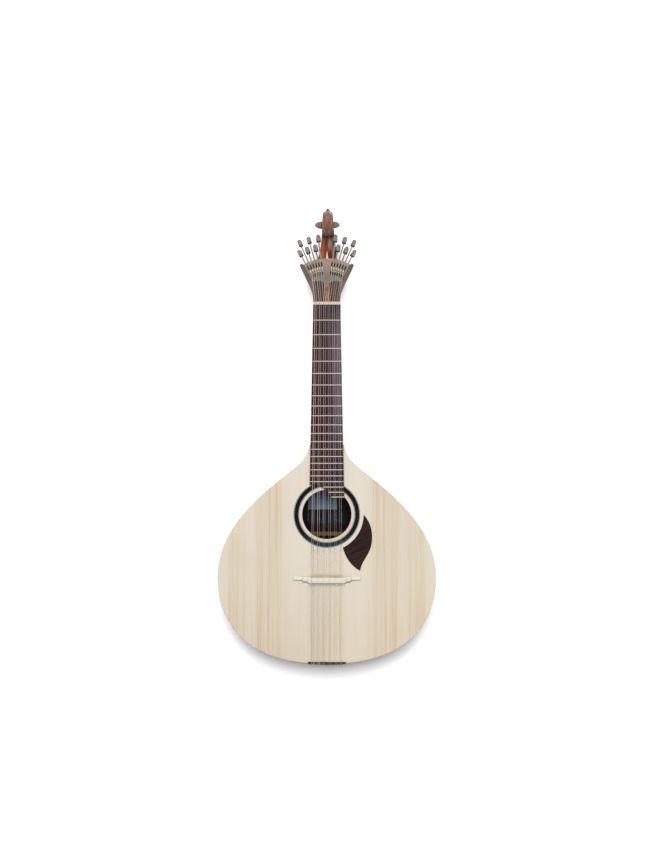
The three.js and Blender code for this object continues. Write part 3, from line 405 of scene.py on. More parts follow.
@dataclass(frozen=True)
class SpruceTop:
    """Book-matched spruce: fine golden ring lines that stand in bands, mirrored at the joint."""

    name: str = "spruce_top"
    pale: Colour = linear(234, 225, 210)
    gold: Colour = linear(216, 199, 168)
    line: Colour = linear(194, 158, 110)
    wear_and_painted_light: Colour = linear(212, 195, 158)
    tail_shade: Colour = (0.97, 0.94, 0.89)
    bridge_shadow_lift: Colour = (1.4, 1.36, 1.32)
    golden_shade_half: float = 24.0
    # bands: where the golden ring lines stand strong; the band at 20.5 to 22.5 mm from the middle line
    # also paints the shadow of the outer strings
    bands: tuple[Pair, ...] = (
        (0, 0.3), (8, 0.2), (9.5, 0.6), (12, 0.6), (14, 0.2), (19.5, 0.3), (20.5, 0.9), (22.5, 0.9),
        (25, 0.2), (38, 0.1), (58, 0.12), (70, 0.3), (78.5, 0.95), (86, 0.7), (92, 0.85), (98, 0.6),
        (103, 0.9), (111, 0.85), (115, 0.35), (130, 0.3), (135, 0.7), (139, 0.35), (143, 0.7),
        (153, 0.7), (162, 0.3), (177, 0.12),
    )

    def material(self) -> bpy.types.Material:
        """Makes the material."""
        bench = Shader(self.name)
        x, y, z = bench.parts(bench.places())
        wander = bench.noise(bench.places((0.012, 0.006, 0.02)), 1.0, 2, 0.5)
        side = abs(x) + (wander - 0.5) * 6
        widest = self.bands[-1][0]
        stops = [(place / widest, (depth,) * 3) for place, depth in self.bands]
        strength = Value(bench, bench.ramp(side / widest, stops))
        rings = bench.noise(bench.joined(side, y * 0.0035, z * 0.2), 0.95, 2, 0.65)
        hairs = bench.noise(bench.joined(side, y * 0.006, z * 0.2 + 9), 2.2, 1, 0.5)
        broad = bench.noise(bench.joined(side, y * 0.006, 0.0), 0.2, 2, 0.6)
        fibres = bench.noise(bench.places((1, 0.02, 0.2)), 2.4, 2, 0.6)
        clouds = bench.noise(bench.places((0.5, 0.25, 0.5)), 0.02, 3, 0.5)
        lines = (rings - 0.5).between(0.03, 0.12) + (hairs - 0.5).between(0.05, 0.2) * 0.4
        colour = bench.mix(strength * (broad * 0.8 + 0.05), self.pale, self.gold)
        colour = bench.mix(lines * (strength * broad * 0.9 + 0.04), colour, self.line)
        colour = bench.shade((fibres - 0.42).between(0, 0.4) * 0.45, colour, (0.92, 0.88, 0.82))
        colour = bench.shade((0.5 - clouds).between(0, 0.25) * 0.6, colour, (0.93, 0.91, 0.88))
        # painted shade: the board grows darker and warmer towards the tail
        colour = bench.shade((60 - y).between(0, 190), colour, self.tail_shade)
        # painted light: lifts the shadow that the bridge casts on the board behind its tail side
        behind = (y + 11.5).between(0, 1) * (-7.2 - y).between(0, 0.3) * (37 - abs(x)).between(0, 7)
        colour = bench.shade(behind, colour, self.bridge_shadow_lift)
        # painted shade: a golden tint on the board just before the bridge
        reach = 1 - (abs(x) - self.golden_shade_half).between(-3, 3)
        patch = (y - 1).between(0, 2) * (1 - (y - 6).between(-2, 3)) * reach
        colour = bench.mix(patch * 0.7, colour, self.wear_and_painted_light)
        rough = 0.48 + (fibres - 0.5) * 0.14
        height = rings * 0.6 + fibres * 0.4
        return bench.finish(colour, rough, 0.0, height, 0.02, 0.06, 0.3)


@dataclass(frozen=True)
class BoardWood:
    """The fingerboard's rosewood: near black, with red streaks on the bass side, violet across."""

    name: str = "fingerboard_rosewood"
    dark: Colour = linear(35, 22, 24)
    red: Colour = linear(94, 38, 37)
    violet: Colour = linear(78, 60, 66)
    sheen: Colour = linear(124, 114, 122)

    def material(self) -> bpy.types.Material:
        """Makes the material."""
        bench = Shader(self.name)
        x, y, _ = bench.parts(bench.places())
        streaks = bench.noise(bench.places((1, 0.012, 0.3)), 0.55, 4, 0.62, 0.4)
        veins = bench.noise(bench.places((1, 0.02, 0.3)), 1.9, 2, 0.6)
        drift = bench.noise(bench.places((0.3, 0.02, 0.1)), 0.3, 2, 0.5)
        bass = (0 - x + (drift - 0.5) * 30).between(-8, 16)
        tone = bench.mix(bass, self.violet, self.red)
        colour = bench.mix((streaks - 0.36).between(0, 0.34), self.dark, tone)
        # painted sheen: a broad violet-grey gleam on the treble side of the board
        sheen_mask = (x + (drift - 0.5) * 16).between(4, 15) * (y - 190).between(0, 80)
        colour = bench.mix(sheen_mask * (1 - (y - 390).between(0, 60)) * 0.55, colour, self.sheen)
        colour = bench.shade((veins - 0.5).between(0, 0.2) * 0.5, colour, (0.4, 0.35, 0.36))
        pores = bench.noise(bench.places((1, 0.06, 1)), 3.0, 2, 0.5).between(0.6, 0.7)
        rough = 0.46 + (veins - 0.5) * 0.2 + pores * 0.1
        return bench.finish(colour, rough, 0.0, 1 - pores, 0.04, 0.0, 0.3, 0.14)


@dataclass(frozen=True)
class HeadWood:
    """The head block's grey-brown wood with a golden strip let in along its middle."""

    name: str = "head_wood"
    dark: Colour = linear(92, 78, 72)
    middle: Colour = linear(124, 110, 104)
    light: Colour = linear(150, 134, 126)
    shaded: Colour = (0.5, 0.4, 0.34)
    strip: Colour = linear(186, 148, 110)
    strip_dark: Colour = linear(104, 76, 54)
    border: Colour = linear(196, 176, 150)
    strip_half: float = 3.2
    bed: Colour = linear(40, 30, 25)
    bed_depth: float = 5.0

    def material(self) -> bpy.types.Material:
        """Makes the material."""
        bench = Shader(self.name)
        x, y, z = bench.parts(bench.places())
        spread = abs(x) / ((y - NECK_END).most(0) * 0.013 + 1)
        lines = bench.noise(bench.joined(spread, y * 0.012, z * 0.15), 0.8, 4, 0.66)
        clouds = bench.noise(bench.places((1, 0.4, 1)), 0.06, 3, 0.5)
        tone = (lines - 0.5) * 1.1 + (clouds - 0.5) * 0.6 + 0.5
        colour = bench.ramp(tone, [(0.2, self.dark), (0.5, self.middle), (0.8, self.light)])
        flame = bench.noise(bench.places((1, 0.2, 0.6)), 0.5, 3, 0.6, 0.5)
        gold = bench.mix((flame - 0.35).between(0, 0.3), self.strip_dark, self.strip)
        inside = 1 - (abs(x) - self.strip_half).between(-0.15, 0.15)
        below = FRONT - (y - NECK_END) * tan(HEAD_TILT) - z
        face = below.below(3.0)
        colour = bench.shade((23 - abs(x)).between(0, 4) * face, colour, self.shaded)
        dusky = (y - 462).between(0, 40) * (abs(x) - 23).between(0, 4)
        colour = bench.shade(dusky, colour, (0.72, 0.68, 0.66))
        colour = bench.mix(inside * face, colour, gold)
        seam = 1 - (abs(abs(x) - self.strip_half) - 0.3).between(-0.1, 0.1)
        colour = bench.mix(seam * face * 0.6, colour, self.border)
        # painted shade: the recess's bed and walls under the fan plate are darkened near black
        in_bay = ((y - 441) * 0.57 + 0.5 - abs(x)).between(0, 0.5) * (y - 480).between(0, 1)
        recess_shade = below.between(self.bed_depth - 1, self.bed_depth) * (1 - below.between(9, 10))
        colour = bench.mix(recess_shade * in_bay, colour, self.bed)
        rough = 0.42 + (lines - 0.5) * 0.2
        return bench.finish(colour, rough, 0.0, lines, 0.04, 0.05, 0.25, 0.16)


@dataclass(frozen=True)
class StemWood:
    """The carved stem's figured wood, with painted light and shade on its carving: flames of orange,
    red and brown below, rosy at the scroll.
    """

    name: str = "stem_wood"
    rosy: Colour = linear(160, 122, 107)
    brown: Colour = linear(106, 70, 54)
    cream: Colour = linear(240, 222, 188)
    groove: Colour = linear(66, 40, 32)
    wear_and_painted_light: Colour = linear(192, 164, 150)
    half_span: float = 19.0
    # flames and stripes: the figure across the stem, with painted light on its lit left side and
    # ridges and painted shade in its grooves
    flames: tuple[Stop, ...] = (
        (-19.0, linear(120, 66, 42)), (-13.0, linear(138, 76, 44)), (-8.5, linear(190, 106, 52)),
        (-5.0, linear(186, 98, 48)), (-3.0, linear(120, 56, 34)), (1.0, linear(160, 84, 50)),
        (3.0, linear(104, 34, 24)), (7.5, linear(92, 36, 28)), (9.5, linear(136, 108, 94)),
        (12.5, linear(128, 98, 82)), (14.0, linear(66, 42, 22)), (16.0, linear(120, 92, 62)),
        (19.0, linear(130, 98, 80)),
    )
    stripes: tuple[Stop, ...] = (
        (-19.0, linear(120, 70, 48)), (-9.0, linear(136, 78, 50)), (-5.0, linear(150, 84, 50)),
        (-2.5, linear(128, 68, 42)), (-0.5, linear(84, 38, 26)), (1.2, linear(112, 70, 52)),
        (3.5, linear(158, 126, 108)), (8.0, linear(140, 108, 92)), (11.0, linear(92, 66, 54)),
        (19.0, linear(130, 98, 80)),
    )

    def material(self) -> bpy.types.Material:
        """Makes the material."""
        bench = Shader(self.name)
        x, y, z = bench.parts(bench.places())
        lean = x + (y - 515) * (x * 0.004 + 0.03)
        wave = bench.noise(bench.places((0.5, 0.12, 0.3)), 0.12, 3, 0.6)
        half, span = self.half_span, 2 * self.half_span
        flames, stripes = (
            [((spot + half) / span, colour) for spot, colour in table]
            for table in (self.flames, self.stripes)
        )
        base = bench.ramp((lean + (wave - 0.5) * 5 + half) / span, flames)
        streaks = bench.noise(bench.places((1, 0.07, 0.25)), 0.5, 4, 0.62, 0.5)
        upper = bench.mix((streaks - 0.38).between(0, 0.24), self.brown, self.rosy)
        middle = bench.ramp((x + (wave - 0.5) * 4 + half) / span, stripes)
        colour = bench.mix((y + (wave - 0.5) * 14).between(526, 538), base, middle)
        colour = bench.mix((y + (wave - 0.5) * 18).between(545, 557), colour, upper)
        # painted shade in the throat under the scroll, broken into dark streaks
        shade_streaks = bench.noise(bench.places((1, 0.05, 0.1)), 0.42, 3, 0.6)
        throat_shade = (y - 538).between(0, 14) * (562 - y).between(0, 12)
        dip = throat_shade * (shade_streaks - 0.46).between(0, 0.12)
        colour = bench.mix(dip * 0.3, colour, self.groove)
        wedge = (abs(x - 0.4) - (531 - y) * 0.13).between(-0.35, 0.35)
        front = (z - 54).between(-2, 2)
        colour = bench.mix((1 - wedge) * front * (1 - (y - 530).between(0, 1)), colour, self.cream)
        ears = (abs(x - 1) - 10).between(0, 1) * (y - 555).between(0, 2)
        colour = bench.mix(ears * 0.25, colour, self.wear_and_painted_light)
        dim = bench.noise(bench.places((1, 0.1, 0.5)), 1.2, 3, 0.6)
        colour = bench.shade((dim - 0.45).between(0, 0.3) * 0.6, colour, (0.6, 0.5, 0.46))
        rough = 0.4 + (dim - 0.5) * 0.2
        return bench.finish(colour, rough, 0.0, dim, 0.05, 0.1, 0.25, 0.25)


@dataclass(frozen=True)
class Metal:
    """A metal with wear: mottled colour, fine scratches and a soft shine."""

    name: str
    colour: Colour
    tarnish: Colour
    roughness: float = 0.36
    mottle: float = 0.5
    patch: float = 5.0
    scratches: float = 0.3
    metallic: float = 0.6

    def material(self) -> bpy.types.Material:
        """Makes the material."""
        bench = Shader(self.name)
        clouds = bench.noise(bench.places(), 1 / self.patch, 4, 0.6)
        spots = bench.noise(bench.places(), 1.6, 3, 0.6)
        lines = bench.noise(bench.places((0.06, 1.2, 1.2), (0, 0, 34)), 2.2, 2, 0.6)
        wear_and_painted_light = (clouds - 0.5) * 1.6 * self.mottle + (spots - 0.5) * self.mottle + 0.4
        clean, dull = (gleaming(part, self.metallic) for part in (self.colour, self.tarnish))
        colour = bench.mix(wear_and_painted_light.between(0, 1), clean, dull)
        rough = self.roughness + (spots - 0.5) * 0.3 + (lines - 0.5) * 0.3 * self.scratches
        height = lines * self.scratches + spots * 0.5
        return bench.finish(colour, rough, self.metallic, height, 0.02)


@dataclass(frozen=True)
class FanNickel:
    """The fan plate's old nickel: rosy along its arc, grey and dull towards the strings, with painted
    shade there and a painted highlight along its lower edge.
    """

    name: str = "fan_nickel"
    rosy: Colour = linear(176, 154, 143)
    grey: Colour = linear(140, 130, 119)
    dull: Colour = linear(94, 86, 78)
    edge: Colour = linear(216, 198, 180)
    metallic: float = 0.6

    def material(self) -> bpy.types.Material:
        """Makes the material."""
        bench = Shader(self.name)
        x, y, _ = bench.parts(bench.places())
        rosy, grey, dull = (gleaming(c, self.metallic) for c in (self.rosy, self.grey, self.dull))
        clouds = bench.noise(bench.places(), 0.22, 4, 0.65)
        spots = bench.noise(bench.places(), 0.9, 4, 0.7)
        lines = bench.noise(bench.places((0.06, 1.2, 1.2), (0, 0, 34)), 2.2, 2, 0.6)
        # painted shade: the plate greys towards the strings
        colour = bench.mix((y + (clouds - 0.5) * 30).between(488, 508), grey, rosy)
        wear_and_painted_light = (clouds - 0.5) * 1.4 + (spots - 0.5) * 1.6 + 0.25
        colour = bench.mix(wear_and_painted_light.between(0, 1), colour, dull)
        # painted highlight along the plate's lower edge
        bright = (1 - (y - 473.6 - abs(x) * 0.26).between(0, 1.2)) * 0.6
        colour = bench.mix(bright, colour, gleaming(self.edge, self.metallic))
        rough = 0.38 + (spots - 0.5) * 0.3
        return bench.finish(colour, rough, self.metallic, lines * 0.4 + spots * 0.5, 0.03)


@dataclass(frozen=True)
class ScrewSteel:
    """The screws' steel: a bright shaft, and a mottled bell with soiling and painted shade in its
    hollows.
    """

    name: str = "screw_steel"
    shaft: Colour = linear(150, 144, 136)
    pale: Colour = linear(180, 172, 165)
    middle: Colour = linear(136, 133, 127)
    dull: Colour = linear(92, 92, 86)
    grime: Colour = linear(30, 27, 25)
    metallic: float = 0.5

    def material(self) -> bpy.types.Material:
        """Makes the material, which reads from the screw's mesh how much soiling and painted shade
        each place has.
        """
        bench = Shader(self.name)
        mark = bench.node("ShaderNodeAttribute", {"attribute_name": SOILING_AND_SHADE})
        soiling_and_shade_level = Value(bench, mark.outputs["Fac"])
        clouds = bench.noise(bench.places(), 0.5, 3, 0.6)
        spots = bench.noise(bench.places(), 1.4, 2, 0.6)
        tone = (clouds - 0.5) * 1.7 + (spots - 0.5) * 1.3 + 0.55
        tints = [gleaming(part, self.metallic) for part in (self.dull, self.middle, self.pale)]
        colour = bench.ramp(tone, list(zip((0.15, 0.5, 0.85), tints)))
        colour = bench.mix((0 - soiling_and_shade_level).between(0, 1), colour, gleaming(self.shaft, self.metallic))
        colour = bench.mix(soiling_and_shade_level.between(0.1, 0.8), colour, self.grime)
        rough = 0.4 + (spots - 0.5) * 0.3
        return bench.finish(colour, rough, self.metallic, spots, 0.03)


@dataclass(frozen=True)
class Wire:
    """String wire: plain steel, or a core with a fine winding along the string."""

    name: str
    colour: Colour
    dark: Colour
    pitch: float = 0.0
    roughness: float = 0.3
    metallic: float = 0.4
    hole_reflection: Colour = (0.52, 0.53, 0.56)

    def material(self) -> bpy.types.Material:
        """Makes the material."""
        bench = Shader(self.name)
        tarnish = bench.noise(bench.places((1, 0.3, 1)), 0.12, 3, 0.6).between(0.4, 0.7)
        clean, dull = (gleaming(part, self.metallic) for part in (self.colour, self.dark))
        colour = bench.mix(tarnish * 0.6, clean, dull)
        _, along, _ = bench.parts(bench.places())
        # painted reflection: the strings darken over the hole, where they mirror its dark inside
        over_hole = (along - 38).between(0, 6) * (94 - along).between(0, 10)
        colour = bench.shade(over_hole, colour, self.hole_reflection)
        height = bench.noise(bench.places((1, 0.1, 1)), 4.0, 2, 0.5)
        if self.pitch:
            height = (along * (2 * pi / self.pitch)).sine() * 0.5 + 0.5
            colour = bench.shade((1 - height) * 0.4, colour, (0.6, 0.54, 0.48))
        rough = self.roughness + tarnish * 0.15
        return bench.finish(colour, rough, self.metallic, height, 0.03)


@dataclass(frozen=True)
class BridgeMaple:
    """The bridge's bare maple, with painted golden shade on the slope that faces the hole."""

    name: str = "bridge_maple"
    pale: Colour = linear(243, 238, 222)
    deep: Colour = linear(236, 227, 207)
    gold: Colour = linear(216, 198, 160)
    golden_shade_half: float = 25.0

    def material(self) -> bpy.types.Material:
        """Makes the material."""
        bench = Shader(self.name)
        x, y, _ = bench.parts(bench.places())
        lines = bench.noise(bench.places((0.05, 1, 1)), 1.1, 4, 0.6)
        clouds = bench.noise(bench.places(), 0.12, 3, 0.5)
        tone = (lines - 0.5) * 0.9 + (clouds - 0.5) * 0.7 + 0.4
        colour = bench.mix(tone.between(0, 1), self.pale, self.deep)
        # painted shade: a golden tint on the slope that faces the hole
        reach = 1 - (abs(x) - self.golden_shade_half).between(-2, 2)
        wear_and_painted_light = (y + (clouds - 0.5) * 2).between(0.2, 1.8) * reach
        colour = bench.mix(wear_and_painted_light * 0.9, colour, self.gold)
        return bench.finish(colour, 0.5 + (lines - 0.5) * 0.2, 0.0, lines, 0.03)


@dataclass(frozen=True)
class TailWood:
    """The tail strip's dark wood, rubbed pale in patches and between its segments."""

    name: str = "tail_strip_wood"
    dark: Colour = linear(46, 38, 30)
    brown: Colour = linear(92, 79, 64)
    pale: Colour = linear(196, 184, 164)
    gaps: tuple[float, ...] = (-20.6, -11.4, 6.0)

    def material(self) -> bpy.types.Material:
        """Makes the material."""
        bench = Shader(self.name)
        x, _, _ = bench.parts(bench.places())
        patches = bench.noise(bench.places((1, 0.5, 1)), 0.3, 4, 0.65)
        colour = bench.mix((patches - 0.42).between(0, 0.2), self.dark, self.brown)
        for place, share in zip(self.gaps, (0.8, 0.9, 0.25)):
            gap = 1 - (abs(x - place) - 0.5).between(-0.2, 0.2)
            colour = bench.mix(gap * share, colour, self.pale)
        return bench.finish(colour, 0.45 + (patches - 0.5) * 0.2, 0.0, patches, 0.05, 0.0, 0.2, 0.12)


@dataclass(frozen=True)
class RingBlack:
    """The rosette's black ring, blue-green where it turns under the strings."""

    name: str = "rosette_black"
    black: Colour = linear(14, 15, 17)
    wear_and_painted_light: Colour = linear(30, 32, 35)
    blue: Colour = linear(50, 68, 72)

    def material(self) -> bpy.types.Material:
        """Makes the material."""
        bench = Shader(self.name)
        _, y, _ = bench.parts(bench.places())
        wear = bench.noise(bench.places(), 0.35, 4, 0.65)
        colour = bench.mix((wear - 0.4).between(0, 0.3), self.black, self.wear_and_painted_light)
        low = (HOLE_CENTRE[1] - 28 - y + (wear - 0.5) * 12).between(0, 18)
        colour = bench.mix(low * 0.6, colour, self.blue)
        return bench.finish(colour, 0.4 + (wear - 0.5) * 0.2, 0.0, wear, 0.02, 0.0, 0.2, 0.1)


@dataclass(frozen=True)
class Bone:
    """Polished bone with faint streaks."""

    name: str
    pale: Colour
    dark: Colour

    def material(self) -> bpy.types.Material:
        """Makes the material."""
        bench = Shader(self.name)
        streaks = bench.noise(bench.places((0.15, 1, 1)), 1.3, 3, 0.6)
        stains = bench.noise(bench.places(), 0.25, 3, 0.6)
        colour = bench.mix((streaks - 0.35).between(0, 0.5) * 0.6 + stains * 0.3, self.pale, self.dark)
        return bench.finish(colour, 0.35 + (streaks - 0.5) * 0.15, 0.0, streaks, 0.02, 0.2)


@dataclass(frozen=True)
class Paper:
    """Aged paper: cloudy tone, fibres and darker edges."""

    name: str
    pale: Colour
    dark: Colour

    def material(self) -> bpy.types.Material:
        """Makes the material."""
        bench = Shader(self.name)
        clouds = bench.noise(bench.places(), 0.07, 3, 0.6)
        fibres = bench.noise(bench.places((1, 0.3, 1)), 1.8, 3, 0.6)
        colour = bench.mix(clouds.between(0.3, 0.7) * 0.7 + (fibres - 0.5) * 0.5, self.pale, self.dark)
        return bench.finish(colour, 0.85, 0.0, fibres, 0.03, 0.0, 0.3, 0.25)


@dataclass(frozen=True)
class Purfling:
    """A ring of short dark and pale strips laid side by side round a centre."""

    name: str
    pale: Colour
    dark: Colour
    centre: Pair
    strips: int = 138

    def material(self) -> bpy.types.Material:
        """Makes the material."""
        bench = Shader(self.name)
        x, y, _ = bench.parts(bench.places(centre=(*self.centre, 0)))
        angle = bench.node("ShaderNodeMath", {"operation": "ARCTAN2"}, {0: y, 1: x})
        turn = Value(bench, angle.outputs[0])
        reach = (x * x + y * y) ** 0.5
        wave = (turn * self.strips + reach * 2.6).sine()
        wear = bench.noise(bench.places(), 0.9, 3, 0.6)
        colour = bench.mix((wave + (wear - 0.5) * 1.2).between(-0.25, 0.25), self.dark, self.pale)
        return bench.finish(colour, 0.4 + (wear - 0.5) * 0.2, 0.0, wear, 0.02, 0.2)


@dataclass(frozen=True)
class Floor:
    """A plain matt studio floor."""

    name: str = "studio_floor"
    colour: Colour = (0.93, 0.93, 0.93)

    def material(self) -> bpy.types.Material:
        """Makes the material."""
        bench = Shader(self.name)
        return bench.finish(self.colour, 0.9, specular=0.1)


class Rack:
    """The finishes of this instrument, made once each and handed out by name."""

    def __init__(self) -> None:
        """Makes every finish."""
        made = [
            SpruceTop(), BoardWood(), HeadWood(), StemWood(), BridgeMaple(), TailWood(),
            RingBlack(),
            Wood(
                "rosewood_leaf", linear(28, 17, 18), linear(48, 32, 31), linear(70, 47, 43),
                turn=(0, 0, 66), ring_pitch=1.1, ring_contrast=1.2, roughness=0.42, coat=0.0,
                specular=0.1,
            ),
            Wood(
                "neck_wood", linear(84, 50, 36), linear(122, 78, 56), linear(154, 104, 78),
                ring_pitch=2.0, roughness=0.4, coat=0.12,
            ),
            Wood(
                "side_wood", linear(44, 26, 20), linear(78, 46, 34), linear(116, 72, 52),
                ring_pitch=3.4, ring_contrast=1.1, figure=0.4, roughness=0.36, coat=0.12,
                painted_inside_shade=True,
            ),
            Wood(
                "inner_wood", linear(150, 116, 78), linear(188, 154, 112), linear(210, 180, 138),
                ring_pitch=1.6, roughness=0.75, coat=0.0,
            ),
            # brace_wood is darker than inner_wood: painted shade on the braces inside the body
            Wood(
                "brace_wood", linear(92, 66, 40), linear(122, 90, 56), linear(142, 108, 70),
                grain=Grain.ALONG_X, ring_pitch=1.6, roughness=0.75, coat=0.0,
            ),
            Wood(
                "rosette_maple", linear(206, 190, 166), linear(226, 213, 192),
                linear(238, 228, 210), ring_pitch=1.2, ring_contrast=0.4, pores=0.1, roughness=0.45,
                coat=0.05,
            ),
            Purfling("rosette_rope", linear(190, 192, 192), linear(30, 32, 36), HOLE_CENTRE),
            Bone("nut_bone", linear(236, 221, 206), linear(204, 182, 162)),
            Paper("label_paper", linear(156, 186, 212), linear(130, 154, 178)),
            # the lower paper's colours are the paper's in painted shade
            Paper("label_paper_in_shade", linear(50, 52, 62), linear(34, 36, 44)), ScrewSteel(),
            FanNickel(),
            Metal("hook_brass", linear(246, 236, 214), linear(196, 178, 148), 0.34, 0.4, 1.6),
            Metal("rail_nickel", linear(176, 172, 164), linear(108, 104, 96), 0.36, 0.5, 5.0),
            Metal("fret_nickel", linear(240, 226, 220), linear(198, 182, 176), 0.3, 0.4, 3.0),
            Wire("wire_wound", linear(222, 212, 200), linear(190, 178, 166), 0.7, 0.34),
            Wire("wire_plain", linear(232, 223, 216), linear(196, 186, 178)), Floor(),
        ]
        self.finishes = {finish.name: finish.material() for finish in made}

    def __getitem__(self, name: str) -> bpy.types.Material:
        """Hands out a material by its name."""
        return self.finishes[name]


# Bench tools


class Stock:
    """A piece under the tools: a bmesh in millimetres, shaped by bmesh operators."""

    def __init__(self) -> None:
        """Starts with nothing on the bench."""
        self.mesh = bmesh.new()

    def ring(self, points: Sequence[Vector]) -> list[BMVert]:
        """Lays a closed ring of edges.

        Args:
            points: its corners in order.

        Returns:
            Its vertices in the same order.
        """
        made = bmesh.ops.create_circle(
            self.mesh, cap_ends=False, segments=len(points), radius=1.0
        )["verts"]
        for vert, point in zip(made, points):
            vert.co = Vector(point)
        return made

    def _edges(self, ring: Sequence[BMVert]) -> list[BMEdge]:
        """Gives the edges of a ring."""
        following = list(ring[1:]) + [ring[0]]
        return [self.mesh.edges.get(pair) for pair in zip(ring, following)]

    def carry(self, ring: Sequence[BMVert], points: Sequence[Vector]) -> list[BMVert]:
        """Extrudes a ring to new places.

        Args:
            ring: the ring to start from.
            points: where its copy goes.

        Returns:
            The new ring.
        """
        made = bmesh.ops.extrude_edge_only(self.mesh, edges=self._edges(ring))["geom"]
        fresh = {item for item in made if isinstance(item, BMVert)}
        copies = []
        for vert, point in zip(ring, points):
            copy = next(e.other_vert(vert) for e in vert.link_edges if e.other_vert(vert) in fresh)
            copy.co = Vector(point)
            copies.append(copy)
        return copies

    def cap(self, ring: Sequence[BMVert]) -> list[BMFace]:
        """Closes a ring with a face."""
        return bmesh.ops.edgeloop_fill(self.mesh, edges=self._edges(ring))["faces"]

    def loft(self, sections: Sequence[Section], closed: bool = False) -> "Stock":
        """Skins a row of sections that all hold the same number of points.

        Args:
            sections: the sections in order.
            closed: whether the last one joins the first.

        Returns:
            This stock.
        """
        first = self.ring(sections[0])
        last = first
        for section in sections[1:]:
            last = self.carry(last, section)
        if closed:
            edges = self._edges(first) + self._edges(last)
            bmesh.ops.bridge_loops(self.mesh, edges=edges)
        else:
            self.cap(first)
            self.cap(last)
        return self

    def plate(self, outline: Sequence[Pair], low: float, high: float) -> "Stock":
        """Cuts a flat plate to an outline.

        Args:
            outline: its corners in X and Y.
            low: its underside's height.
            high: its top's height.

        Returns:
            This stock.
        """
        base = [Vector((x, y, low)) for x, y in outline]
        return self.loft([base, [point + Vector((0, 0, high - low)) for point in base]])

    def pierced(
        self, outline: Sequence[Pair], holes: Sequence[Sequence[Pair]], low: float, high: float
    ) -> "Stock":
        """Cuts a flat plate with holes.

        Args:
            outline: its corners in X and Y.
            holes: the corners of each hole.
            low: its underside's height.
            high: its top's height.

        Returns:
            This stock.
        """
        edges = []
        for loop in [outline, *holes]:
            edges += self._edges(self.ring([Vector((x, y, low)) for x, y in loop]))
        filled = bmesh.ops.triangle_fill(self.mesh, use_beauty=True, edges=edges)["geom"]
        faces = [item for item in filled if isinstance(item, BMFace)]
        self.raise_faces(faces, Vector((0, 0, high - low)))
        return self

    def raise_faces(self, faces: Sequence[BMFace], by: Vector) -> None:
        """Extrudes faces.

        Args:
            faces: the faces.
            by: how far and in which direction.
        """
        made = bmesh.ops.extrude_face_region(self.mesh, geom=list(faces))["geom"]
        verts = [item for item in made if isinstance(item, BMVert)]
        bmesh.ops.translate(self.mesh, verts=verts, vec=by)

    def turned(self, profile: Sequence[Pair], steps: int = 32) -> "Stock":
        """Turns a profile on the lathe, about Z.

        Args:
            profile: radii and heights, closed on the axis at both ends or closed in itself.
            steps: the number of steps round the axis.

        Returns:
            This stock.
        """
        verts = []
        for radius, height in profile:
            made = bmesh.ops.create_vert(self.mesh, co=(radius, 0, height))["vert"]
            verts += made
        edges = []
        for pair in zip(verts, verts[1:]):
            made = bmesh.ops.contextual_create(self.mesh, geom=list(pair))["edges"]
            edges += made
        bmesh.ops.spin(
            self.mesh, geom=verts + edges, cent=(0, 0, 0), axis=(0, 0, 1), angle=2 * pi,
            steps=steps, use_merge=True,
        )
        bmesh.ops.remove_doubles(self.mesh, verts=self.mesh.verts[:], dist=1e-4)
        return self

    def ease(
        self, width: float, segments: int = 2, angle: float = 30.0,
        where: Optional[Callable[[Vector], bool]] = None,
    ) -> "Stock":
        """Rounds the sharp edges.

        Args:
            width: how far the rounding reaches.
            segments: its number of steps.
            angle: the least turn, in degrees, of an edge that is rounded.
            where: tells from an edge's middle whether it is rounded.

        Returns:
            This stock.
        """
        least = radians(angle)
        edges = []
        for edge in self.mesh.edges:
            middle = (edge.verts[0].co + edge.verts[1].co) / 2
            if len(edge.link_faces) == 2 and (where is None or where(middle)):
                if edge.calc_face_angle() > least:
                    edges.append(edge)
        bmesh.ops.bevel(
            self.mesh, geom=edges, offset=width, offset_type="OFFSET", affect="EDGES",
            segments=segments, profile=0.5, material=-1, clamp_overlap=True,
        )
        return self

    def slice(self, axis: int, places: Sequence[float]) -> "Stock":
        """Cuts the faces along planes across an axis, so that they can be bent.

        Args:
            axis: 0, 1 or 2 for X, Y or Z.
            places: where the planes stand on it.

        Returns:
            This stock.
        """
        for place in places:
            spot, normal = Vector(), Vector()
            spot[axis], normal[axis] = place, 1.0
            geom = self.mesh.verts[:] + self.mesh.edges[:] + self.mesh.faces[:]
            bmesh.ops.bisect_plane(self.mesh, geom=geom, dist=1e-5, plane_co=spot, plane_no=normal)
        return self

    def shape(self, change: Callable[[Vector], Vector]) -> "Stock":
        """Moves every vertex to where a rule puts it.

        Args:
            change: gives a vertex its new place from its old one.

        Returns:
            This stock.
        """
        for vert in self.mesh.verts:
            vert.co = change(vert.co)
        return self

    def place(self, matrix: Matrix) -> "Stock":
        """Moves the whole piece by a matrix."""
        bmesh.ops.transform(self.mesh, matrix=matrix, verts=self.mesh.verts[:])
        return self

    def add(self, other: "Stock") -> "Stock":
        """Takes another piece's mesh in.

        Args:
            other: the other piece, which is used up.

        Returns:
            This stock.
        """
        spare = bpy.data.meshes.new("spare")
        other.mesh.to_mesh(spare)
        other.mesh.free()
        self.mesh.from_mesh(spare)
        bpy.data.meshes.remove(spare)
        return self

